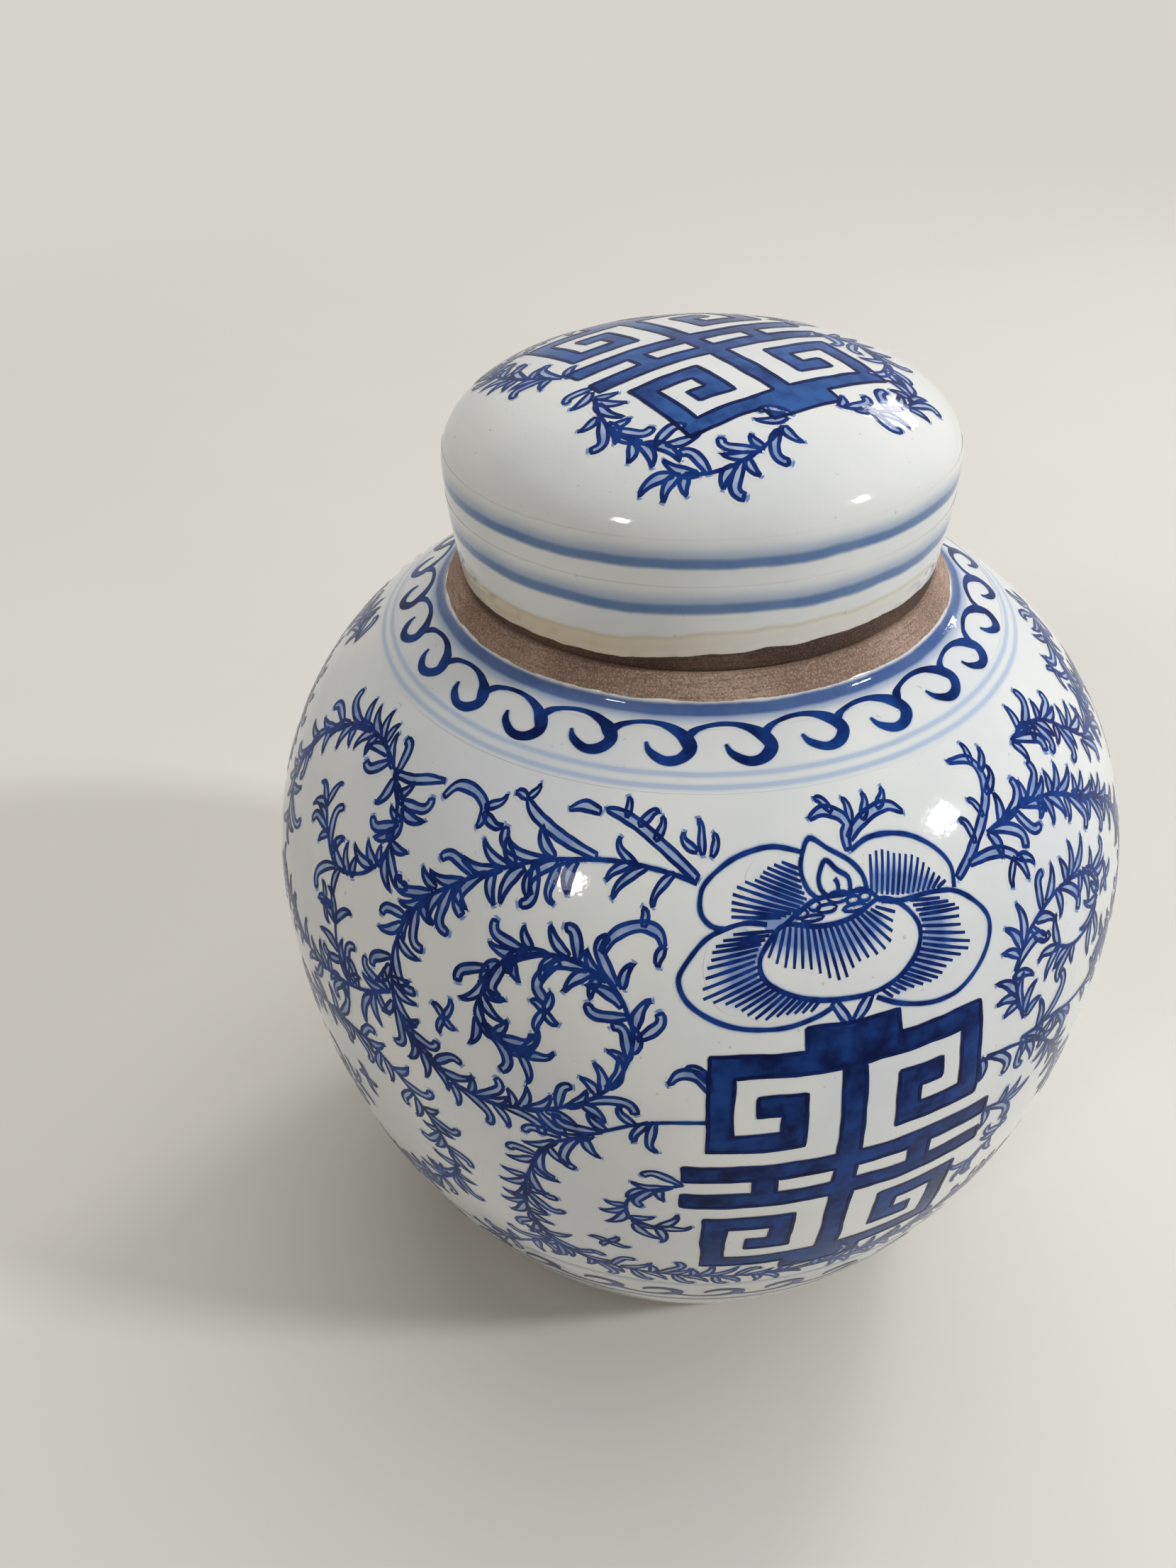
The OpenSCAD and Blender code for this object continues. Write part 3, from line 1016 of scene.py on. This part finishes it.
def glaze_pool_group():
    """Slow and fine unevenness of a thick glaze: a white that shifts a little, and its skin's height."""
    inputs = sockets("Vector", "Place") + sockets("Float", "Slow", "Fine", "Peel")
    outputs = sockets("Color", "Colour") + sockets("Float", "Height")
    tree, given = new_tree("glaze_pool", inputs, outputs, "ShaderNodeTree")
    place = given["Place"]
    slow = noise(place, given["Slow"], 3.0)
    fine = noise(place, given["Fine"], 2.0)
    peel = noise(place, given["Peel"], 1.0)
    white = blended(faded(slow, 0.3, 0.7), WHITE_COOL, WHITE_PALE)
    specks = faded(noise(place, SPECK_SCALE, 0.0), 0.84, 0.87)
    white = blended(specks * 0.4, white, SPECK)
    return give(tree, Colour=white, Height=slow * 0.6 + fine * 0.4 + peel * 0.22)


def brush_load_group():
    """How thick the cobalt lies: streaks of the brush and pools where it stopped."""
    inputs = sockets("Vector", "Place") + sockets("Float", "Streaks", "Pools")
    tree, given = new_tree("brush_load", inputs, sockets("Float", "Load"), "ShaderNodeTree")
    streaks = noise(given["Place"], given["Streaks"], 3.0)
    pools = noise(given["Place"], given["Pools"], 1.0)
    return give(tree, Load=faded(streaks * 0.5 + pools * 0.5, 0.35, 0.65))


GLAZE_POOL = glaze_pool_group()
BRUSH_LOAD = brush_load_group()


def new_material(name):
    material = bpy.data.materials.new(name)
    material.use_nodes = True
    tree = material.node_tree
    shader = next(n for n in tree.nodes if n.type == "BSDF_PRINCIPLED")
    return material, tree, shader, put(tree, "ShaderNodeTexCoord")["Object"]


def glaze_pool(place):
    return put(place.tree, "ShaderNodeGroup", node_tree=GLAZE_POOL, Place=place, **GLAZE_SCALES)


def brush_load(place, streaks, pools):
    scales = {"Streaks": streaks, "Pools": pools}
    return made(place.tree, "ShaderNodeGroup", node_tree=BRUSH_LOAD, Place=place, **scales)


def skinned(tree, shader, colour, height, roughness=GLAZE_ROUGHNESS):
    """Gives a shader its colour, its roughness and an uneven skin."""
    bump = made(tree, "ShaderNodeBump", Height=height, Strength=SKIN_BUMP, Distance=MM)
    feed(tree, shader, Base_Color=colour, Roughness=roughness, Normal=bump)


def paint_material(name, thin, thick, streaks, pools):
    """Cobalt under the glaze: its colour follows how thick it was laid, and its skin is the glaze's."""
    material, tree, shader, place = new_material(name)
    colour = blended(brush_load(place, streaks, pools), tint(*thin), tint(*thick))
    skinned(tree, shader, colour, glaze_pool(place)["Height"])
    feed(tree, shader, Specular_IOR_Level=PAINT_SPECULAR)
    return material


def soft_band_material(name, core, low_edge, high_edge, halo):
    """A line that bleeds into the glaze, with a halo on either side.

    It has its full colour between two edges, given from -1 to 1 across the line.
    """
    material, tree, shader, place = new_material(name)
    skin = glaze_pool(place)
    side = put(tree, "ShaderNodeAttribute", attribute_name="across")["Vector"]
    wander = apart(side)["X"] + uneven(place, BAND_SCALE, 3.0, BAND_WANDER)

    def inside(low, high):
        return faded(wander, low, low_edge) * (1.0 - faded(wander, high_edge, high))

    strong = ranged(brush_load(place, streaks=160.0, pools=45.0), BAND_WEAKEST, 1.0)
    bled = blended(inside(-HALO_END, HALO_END), skin["Colour"], tint(*halo))
    full = inside(low_edge - BAND_FADE, high_edge + BAND_FADE) * strong
    colour = blended(full, bled, tint(*core))
    skinned(tree, shader, colour, skin["Height"])
    return material


def glazed_material(name, length, bare, edge_wander, lip, cream, lean, clay_light, clay_dark):
    """White glaze over a section, with stretches of bare clay and of cream slip along it.

    On one side, LEAN_SIDE round from the front, the clay reaches further up by lean and the cream thins.
    """
    material, tree, shader, place = new_material(name)
    skin = glaze_pool(place)
    chart = apart(made(tree, "ShaderNodeUVMap", uv_map="OFBake"))
    along = chart["Y"] * length
    ragged = uneven(place, EDGE_RAGGED_SCALE, 4.0, EDGE_RAGGED)
    slow = uneven(place, EDGE_SLOW_SCALE, 1.0, edge_wander)
    turn = (chart["X"] - 0.5) * math.tau
    leaning = faded(maths("COSINE", turn - LEAN_SIDE), 0.45, 1.0)
    wander = along + (ragged + slow) - leaning * lean

    def stretch(low, high, soft):
        return faded(wander, low - soft, low + soft) * (1.0 - faded(wander, high - soft, high + soft))

    colour = skin["Colour"]
    slip = ranged(leaning, SLIP_THICK, SLIP_THIN)
    for low, high in cream:
        colour = blended(stretch(low, high, SLIP_SOFT) * slip, colour, CREAM_SLIP)
        tide = stretch(high - TIDE_HALF_WIDTH, high + TIDE_HALF_WIDTH, SLIP_SOFT)
        colour = blended(tide * TIDE_STRENGTH, colour, CREAM_TIDE)
    clay_mask = 0.0
    lip_mask = 0.0
    for low, high in bare:
        clay_mask = maths("MAXIMUM", clay_mask, stretch(low, high, CLAY_SOFT))
        lip_mask = maths("MAXIMUM", lip_mask, stretch(low - LIP_WIDTH, high + LIP_WIDTH, LIP_SOFT))
    flakes = (lip_mask - clay_mask) * lip * faded(noise(place, FLAKE_SCALE, 3.0), 0.3, 0.55)
    colour = blended(flakes * FLAKE_STRENGTH, colour, GLAZE_LIP)
    clay = blended(faded(noise(place, CLAY_PATCH_SCALE, 5.0), 0.32, 0.7), clay_dark, clay_light)
    wheel = made(tree, "ShaderNodeCombineXYZ", chart["X"] * WHEEL_BREAKS, along)
    marks = faded(noise(wheel, WHEEL_SCALE, 3.0), 0.45, 0.66)
    clay = blended(marks * WHEEL_STRENGTH, clay, dimmed(clay_dark, 0.8))
    grain = noise(place, GRAIN_SCALE, 2.0)
    clay = blended(faded(grain, 0.48, 0.66) * GRAIN_STRENGTH, clay, dimmed(clay_dark, 0.5))
    clay = blended(faded(grain, 0.48, 0.32) * GRAIN_STRENGTH, clay, dimmed(clay_light, 1.2))
    gritty = noise(place, GRIT_SCALE, 4.0) * clay_mask * GRIT_HEIGHT
    height = skin["Height"] + (gritty + flakes * FLAKE_HEIGHT)
    rough = ranged(clay_mask, GLAZE_ROUGHNESS, CLAY_ROUGHNESS)
    skinned(tree, shader, blended(clay_mask, colour, clay), height, rough)
    return material


def background_rays(tree):
    """1 for the rays that show the background: those of the camera, and those of gloss and glass."""
    path = put(tree, "ShaderNodeLightPath")
    seen = maths("MAXIMUM", path["Is Camera Ray"], path["Is Glossy Ray"])
    return maths("MAXIMUM", seen, path["Is Transmission Ray"])


def floor_material():
    """A pale floor that takes shadows near the jar and keeps one even tone further off."""
    material, tree, shader, place = new_material("pale_floor")
    colour = blended(noise(place, 6.0, 3.0), FLOOR_DULL, FLOOR_PALE)
    feed(tree, shader, Base_Color=colour, Roughness=FLOOR_ROUGHNESS)
    away = made(tree, "ShaderNodeVectorMath", place, operation="LENGTH")
    even = faded(away, FLOOR_NEAR, FLOOR_FAR) * background_rays(tree)
    glow = made(tree, "ShaderNodeEmission", Color=FLOOR_COLOUR, Strength=1.0)
    mixed = made(tree, "ShaderNodeMixShader", even, Wire(tree, shader.outputs[0]), glow)
    feed(tree, tree.nodes["Material Output"], Surface=mixed)
    return material


# Making the pieces


def sheet_mesh(name, section, radius):
    """A flat sheet with a row for each point of the section, and its own map of turn and length."""
    lengths = arc_lengths(section)
    turns = np.linspace(-math.pi, math.pi, AROUND_STEPS + 1)
    points = [(turn * radius * MM, length * MM, 0) for length in lengths for turn in turns]
    wide = AROUND_STEPS + 1
    faces = []
    for row in range(len(lengths) - 1):
        for column in range(AROUND_STEPS):
            low = row * wide + column
            faces.append((low, low + 1, low + 1 + wide, low + wide))
    mesh = bpy.data.meshes.new(name)
    mesh.from_pydata(points, [], faces)
    chart = mesh.uv_layers.new(name="OFBake")
    for loop in mesh.loops:
        row, column = divmod(loop.vertex_index, wide)
        chart.data[loop.index].uv = (column / AROUND_STEPS, lengths[row] / lengths[-1])
    return mesh


# The least span of a drawing's map, in metres, so that nothing is divided by zero
SMALLEST_CHART = 1e-6


def chart_flat(mesh):
    """The flat drawing's own place becomes the piece's map."""
    if "OFBake" not in mesh.uv_layers and "flat" in mesh.attributes:
        flat = np.zeros(len(mesh.vertices) * 3, dtype=np.float32)
        mesh.attributes["flat"].data.foreach_get("vector", flat)
        flat = flat.reshape(-1, 3)[:, :2]
        low, high = flat.min(axis=0), flat.max(axis=0)
        spread = (flat - low) / np.maximum(high - low, SMALLEST_CHART)
        corners = np.zeros(len(mesh.loops), dtype=np.int32)
        mesh.loops.foreach_get("vertex_index", corners)
        chart = mesh.uv_layers.new(name="OFBake")
        chart.data.foreach_set("uv", np.ascontiguousarray(spread[corners]).ravel())
    for name in ("flat", "anchor"):
        if name in mesh.attributes:
            mesh.attributes.remove(mesh.attributes[name])


def settle(name, tree, values, body, mesh=None, node=None):
    """Runs a node tree once and keeps its result as a plain mesh that rides on a body."""
    source = linked(name + "_source", mesh or bpy.data.meshes.new(name + "_source"))
    modifier = source.modifiers.new(name, "NODES")
    modifier.node_group = tree
    for item in tree.interface.items_tree:
        if item.in_out == "INPUT" and item.name in values:
            modifier[item.identifier] = values[item.name]
    bpy.context.view_layer.update()
    ready = bpy.context.evaluated_depsgraph_get()
    shown = source.evaluated_get(ready)
    kept = bpy.data.meshes.new_from_object(shown, preserve_all_data_layers=True, depsgraph=ready)
    kept.name = name
    bpy.data.objects.remove(source)
    chart_flat(kept)
    piece = linked(name, kept)
    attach(piece, body)
    if node:
        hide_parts(node)


def section_curve(name, section):
    return curve_object(name, [([(out, 0, up) for out, up in section], [1] * len(section), False)])


jar_line = jar_section()
lid_line = lid_section()
jar_lengths = arc_lengths(jar_line)
lid_lengths = arc_lengths(lid_line)


def length_at(line, out, up):
    """How far along a section its point nearest to a radius and a level lies."""
    return float(arc_lengths(line)[np.argmin(np.hypot(*(line - (out, up)).T))])


bare_foot = [length_at(jar_line, out, FOOT_BEVEL) for out in (FOOT_INSIDE, FOOT_RADIUS)]
bare_seat = length_at(jar_line, SEAT_RADIUS, LEDGE_LEVEL - SEAT_RISE)
bare_mouth = length_at(jar_line, MOUTH_RADIUS, NECK_TOP - NECK_ROUND)
bare_jar = [bare_foot, (bare_seat, bare_mouth)]
# How far the lid's bare clay reaches up its bore and up its side, and the cream slip up its side
BARE_BORE = 6
BARE_SIDE = 1.6
CREAM_SIDE = 6.0
lid_edge = length_at(lid_line, LID_RIM_RADIUS, LEDGE_LEVEL + LID_BEVEL)
bare_lid = [(length_at(lid_line, LID_BORE_RADIUS, LEDGE_LEVEL + BARE_BORE), lid_edge + BARE_SIDE)]
cream_lid = [(lid_edge, lid_edge + CREAM_SIDE)]

jar_glaze = glazed_material(
    "jar_white_glaze", jar_lengths[-1], bare_jar, edge_wander=0.6, lip=1.0, cream=[], lean=0.0,
    clay_light=tint(178, 152, 136), clay_dark=tint(140, 114, 97),
)
lid_glaze = glazed_material(
    "lid_white_glaze", lid_lengths[-1], bare_lid, edge_wander=1.6, lip=0.2, cream=cream_lid, lean=2.6,
    clay_light=tint(104, 80, 62), clay_dark=tint(60, 43, 32),
)
cobalt_line = paint_material("cobalt_line", (24, 60, 132), (8, 30, 88), 420.0, 120.0)
cobalt_hook = paint_material("cobalt_hook", (24, 64, 136), (6, 24, 76), 240.0, 110.0)
cobalt_fill = paint_material("cobalt_fill", (52, 92, 156), (24, 52, 112), 260.0, 60.0)
cobalt_deep = paint_material("cobalt_deep", (24, 62, 128), (2, 18, 66), 260.0, 60.0)
cobalt_edge = paint_material("cobalt_edge", (12, 36, 94), (3, 16, 60), 420.0, 120.0)
cobalt_wash = paint_material("cobalt_wash", (170, 184, 210), (120, 142, 186), 300.0, 110.0)
petal_wash = soft_band_material("petal_wash", (116, 139, 186), -0.9, -0.1, (150, 168, 204))
pale_band = soft_band_material("pale_band", (176, 189, 209), -0.2, 0.2, (194, 204, 217))
dark_band = soft_band_material("dark_band", (48, 84, 146), -0.72, -0.12, (142, 163, 196))
bleed = soft_band_material("bleed", (108, 136, 186), -0.35, 0.35, (160, 178, 208))
lid_band = soft_band_material("lid_band", (78, 112, 160), 0.28, 0.58, (146, 163, 188))

jar_curve = section_curve("jar_section", jar_line)
lid_curve = section_curve("lid_section", lid_line)
# Where drawings are laid: the section, the radius that they are drawn for, where on the section their
# level 0 lies, and the body that carries them
JAR = {"Section": jar_curve, "Round Radius": BELLY_RADIUS * MM, "Body": "jar"}
LID = {"Section": lid_curve, "Round Radius": LID_RADIUS * MM, "Body": "lid"}
BELLY = dict(JAR, Start=float(jar_lengths[np.argmax(jar_line[:, 0])]) * MM)
LID_SIDE = dict(LID, Start=float(lid_lengths[np.argmax(lid_line[:, 0])]) * MM)
CROWN = dict(LID, **{"Start": float(lid_lengths[-1]) * MM, "From Crown": True})
BRUSH = {
    "Step": 0.7 * MM, "Bristles": 3, "Wobble": 0.6, "Line": 0.4 * MM, "Outline": False, "Waver": 1.2 * MM,
}
BAND = {"Bristles": 9, "Wobble": 0.1}
WELD = 0.002 * MM
# How far each layer of paint stands off the glaze
BLEED_LIFT = 0.02 * MM
WASH_LIFT = 0.04 * MM
LINE_LIFT = 0.07 * MM
TOP_LIFT = 0.1 * MM
BLEED_REACH = 0.6
BLEED_LINE = BRUSH["Line"] + BLEED_REACH * MM
LEAFING = {
    "Spacing": 9.4 * MM, "Seed": 4, "Smallest": 0.85, "Largest": 1.12, "Sway": 0.25, "Kept_Share": 0.97,
}
LID_LEAFING = {"Spacing": 8.2 * MM, "Smallest": 0.78, "Largest": 0.98}
# Rows of hooks: name, which way up, how many and level
HOOK_ROWS = (("shoulder_hooks", 1, 27, 84), ("foot_hooks", -1, 40, -66))
HOOKING = {"Unsteady": 0.06, "Seed": 5, "Step": 0.5 * MM, "Wobble": 0.4}
# Rings: level, half width and how much higher the front lies
DARK_RINGS = ((88.9, 2.8, 0.5), (-76, 1.4, 0))
PALE_RINGS = ((77.6, 1.2, 0), (75.2, 1.2, 0), (-57, 1.2, 0))
LID_RINGS = ((0.2, 3.0, 0), (-8.6, 3.2, 0))


def spread(strokes):
    """The same strokes, wider by the reach of the bleeding."""
    return [(points, np.add(widths, BLEED_REACH).tolist()) for points, widths in strokes]


def painted(name, tree, place, lift, material, mesh=None, **values):
    """One painted piece, with the brush's usual values unless others are given."""
    wanted = dict(BRUSH, Lift=lift, Material=material, **place)
    wanted.update({label.replace("_", " "): value for label, value in values.items()})
    settle(name, tree, wanted, place["Body"], mesh)


def painted_leaves(name, tree, place, **values):
    """Leaves in three layers: what bleeds round them, a pale wash and their outlines."""
    painted(f"{name}_bleed", tree, place, BLEED_LIFT, bleed, Outline=True, Line=BLEED_LINE, **values)
    painted(f"{name}_wash", tree, place, WASH_LIFT, cobalt_wash, **values)
    painted(f"{name}_edges", tree, place, LINE_LIFT, cobalt_line, Outline=True, **values)


def painted_strokes(name, place, lift, material, strokes, **values):
    """Strokes drawn once, under the piece's own name."""
    painted(name, STROKES, place, lift, material, Drawing=drawing(name, strokes), **values)


def turned_pieces():
    whole = {"Start": 0.0, "Lift": 0.0, "Weld": WELD}
    settle("jar_glaze_skin", TURNED, dict(JAR, Material=jar_glaze, **whole), "jar",
           sheet_mesh("jar_sheet", jar_line, BELLY_RADIUS), "jar_body")
    settle("lid_glaze_skin", TURNED, dict(LID, Material=lid_glaze, **whole), "lid",
           sheet_mesh("lid_sheet", lid_line, LID_RADIUS), "lid")


def vine_pieces():
    sprays = {name: drawing(name, strokes) for name, strokes in SPRAYS.items()}
    lines = twice([(on_belly(stem), STEM_HALF_WIDTH) for stem in STEMS + BARE_STEMS])
    painted_strokes("vine_stem_bleed", BELLY, BLEED_LIFT, bleed, spread(lines))
    painted_strokes("vine_stems", BELLY, LINE_LIFT, cobalt_line, lines, Bristles=2)
    leafy = drawing("stems", twice([(cut_back(on_belly(stem)), STEM_HALF_WIDTH) for stem in STEMS]))
    painted_leaves("vine_leaf", VINE, BELLY, Stems=leafy, **LEAFING, **sprays)
    shoots = drawing("shoots", twice(stem_tips() + loose_shoots()))
    painted_leaves("shoot", STROKES, BELLY, Drawing=shoots)
    sprigs = drawing("lid_stems", lid_stems())
    painted("lid_sprig_stems", STROKES, CROWN, LINE_LIFT, cobalt_line, Drawing=sprigs, Bristles=2)
    painted_leaves("lid_sprig", VINE, CROWN, Stems=sprigs, **(LEAFING | LID_LEAFING), **sprays)


def flower_pieces():
    lines = [(on_flower(path), FLOWER_LINE_HALF_WIDTH) for path in PETAL_EDGES]
    lines += [(on_flower(pearl(*shape)), PEARL_LINE_HALF_WIDTH) for shape in PEARLS]
    painted_strokes("flower_bleed", BELLY, BLEED_LIFT, bleed, twice(spread(lines)))
    painted_strokes("flower_wash", BELLY, WASH_LIFT, petal_wash, twice(flower_wash()), Bristles=9)
    hatching = twice(flower_hatching())
    painted_strokes("flower_hatching", BELLY, LINE_LIFT, cobalt_line, hatching, Bristles=2)
    painted_strokes("flower_edges", BELLY, TOP_LIFT, cobalt_line, twice(lines), Bristles=2)


def emblem_pieces():
    centre = across(EMBLEM_TURN)
    emblems = (
        ("emblem", "_front", BELLY, cobalt_deep, (EMBLEM_CELL, (centre, EMBLEM_LEVEL), 0)),
        ("emblem", "_back", BELLY, cobalt_deep, (EMBLEM_CELL, (centre + HALF_TURN, EMBLEM_LEVEL), 0)),
        ("lid_emblem", "", CROWN, cobalt_fill, (LID_EMBLEM_CELL, (0, 0), LID_EMBLEM_TURN)),
    )
    for name, side, place, fill, chart in emblems:
        painted(f"{name}_fill{side}", CHARTED, place, WASH_LIFT, fill, fret_mesh(*chart))
        edges = fret_mesh(*chart)
        painted(f"{name}_edges{side}", CHARTED, place, TOP_LIFT, cobalt_edge, edges, Outline=True)


def border_pieces():
    for name, hand, count, level in HOOK_ROWS:
        hook = [([(x, hand * y) for x, y in HOOK], HOOK_HALF_WIDTHS)]
        row = dict(HOOKING, Count=count, Pitch=across(360 / count) * MM, Level=level * MM)
        painted(name, BORDER, BELLY, TOP_LIFT, cobalt_hook, Unit=drawing(name, hook), **row)
        wide = drawing(f"{name}_wide", spread(hook))
        painted(f"{name}_bleed", BORDER, BELLY, BLEED_LIFT, bleed, Unit=wide, **row)
    rings = (
        ("dark_rings", DARK_RINGS, BELLY, BELLY_RADIUS, dark_band),
        ("pale_rings", PALE_RINGS, BELLY, BELLY_RADIUS, pale_band),
        ("lid_rings", LID_RINGS, LID_SIDE, LID_RADIUS, lid_band),
    )
    for name, shapes, place, radius, band in rings:
        strokes = [ring(radius, *shape) for shape in shapes]
        painted_strokes(name, place, WASH_LIFT, band, strokes, **BAND)


turned_pieces()
vine_pieces()
flower_pieces()
emblem_pieces()
border_pieces()
for thing in DRAWN:
    bpy.data.objects.remove(thing)


# Floor, light and camera

# The floor's half width, and how far it runs to the front and to the back, in metres
FLOOR_HALF_WIDTH = 9
FLOOR_FRONT = -5
FLOOR_BACK = 13
# Where the lamps look, and how far off the soft ones are
LAMP_AIM = np.array([0, 0, 0.15])
LAMP_DISTANCE = 2.4
# Soft lamps: name, direction from the jar, size, power and colour
SOFT_LAMPS = (
    ("back_lamp", (0.49, 0.72, 0.5), 0.45, 14, (1, 0.98, 0.95)),
    ("left_lamp", (-0.45, -0.68, 0.57), 0.26, 6, (1, 0.94, 0.86)),
    ("right_lamp", (0.85, -0.17, 0.5), 0.24, 28, (0.95, 0.98, 1)),
)
SKY_DIRECTION = (0.15, 0.3, 1)
SKY_POWER = 1.52
SKY_SPREAD = math.radians(60)
SKY_DISTANCE = 2
AIR_COLOUR = (1, 0.97, 0.93, 1)
AIR_STRENGTH = 0.18
# The camera: its place in metres, its turns in radians, and its lens and sensor in millimetres
CAMERA_SPOT = (0, -0.23186, 0.30115)
CAMERA_YAW = -0.1078
CAMERA_PITCH = 0.6537
CAMERA_ROLL = -0.0417
CAMERA_LENS = 27.03
SENSOR_WIDTH = 36
CLIP_START = 0.01


def flat_floor():
    mesh = bpy.data.meshes.new("floor")
    sides = (-FLOOR_HALF_WIDTH, FLOOR_HALF_WIDTH)
    corners = [(x, y, 0) for y in (FLOOR_FRONT, FLOOR_BACK) for x in sides]
    mesh.from_pydata(corners, [], [(0, 1, 3, 2)])
    floor = linked("floor", mesh)
    mesh.materials.append(floor_material())


def standing(side, top, forward, spot):
    """The matrix of a lamp or a camera at a spot, looking forward."""
    rows = [[side[i], top[i], -forward[i], spot[i]] for i in range(3)]
    return Matrix(rows + [[0, 0, 0, 1]])


def lamp(name, kind, direction, distance, power):
    """A light on a direction from the middle of the jar, turned to look at it."""
    light = bpy.data.lights.new(name, kind)
    light.energy = power
    thing = linked(name, light)
    aim = -np.array(direction) / np.linalg.norm(direction)
    side = np.cross(aim, (0, 0, 1))
    side /= np.linalg.norm(side)
    thing.matrix_world = standing(side, np.cross(side, aim), aim, LAMP_AIM - aim * distance)
    return thing


def soft_lamp(name, direction, size, power, colour):
    light = lamp(name, "AREA", direction, LAMP_DISTANCE, power).data
    light.size = size
    light.color = colour


def overhead_light():
    """Broad light from above that leaves no highlight of its own."""
    sky = lamp("overhead_light", "SUN", SKY_DIRECTION, SKY_DISTANCE, SKY_POWER)
    sky.data.angle = SKY_SPREAD
    sky.visible_glossy = False


def photo_camera():
    ahead = math.cos(CAMERA_PITCH)
    forward = (math.sin(CAMERA_YAW) * ahead, math.cos(CAMERA_YAW) * ahead, -math.sin(CAMERA_PITCH))
    level = np.array([math.cos(CAMERA_YAW), -math.sin(CAMERA_YAW), 0])
    upright = np.cross(level, forward)
    side = math.cos(CAMERA_ROLL) * level + math.sin(CAMERA_ROLL) * upright
    top = -math.sin(CAMERA_ROLL) * level + math.cos(CAMERA_ROLL) * upright
    lens = bpy.data.cameras.new("photo_camera")
    lens.lens = CAMERA_LENS
    lens.sensor_width = SENSOR_WIDTH
    lens.clip_start = CLIP_START
    camera = linked("photo_camera", lens)
    camera.matrix_world = standing(side, top, forward, CAMERA_SPOT)
    bpy.context.scene.camera = camera


def studio():
    world = bpy.data.worlds.new("studio_air")
    world.use_nodes = True
    tree = world.node_tree
    air = tree.nodes["Background"]
    feed(tree, air, Color=AIR_COLOUR, Strength=AIR_STRENGTH)
    backdrop = made(tree, "ShaderNodeBackground", Color=FLOOR_COLOUR, Strength=1.0)
    seen = background_rays(tree)
    mixed = made(tree, "ShaderNodeMixShader", seen, Wire(tree, air.outputs[0]), backdrop)
    feed(tree, tree.nodes["World Output"], Surface=mixed)
    bpy.context.scene.world = world
    overhead_light()
    for shape in SOFT_LAMPS:
        soft_lamp(*shape)


flat_floor()
studio()
photo_camera()
bpy.context.scene.view_settings.view_transform = "Standard"
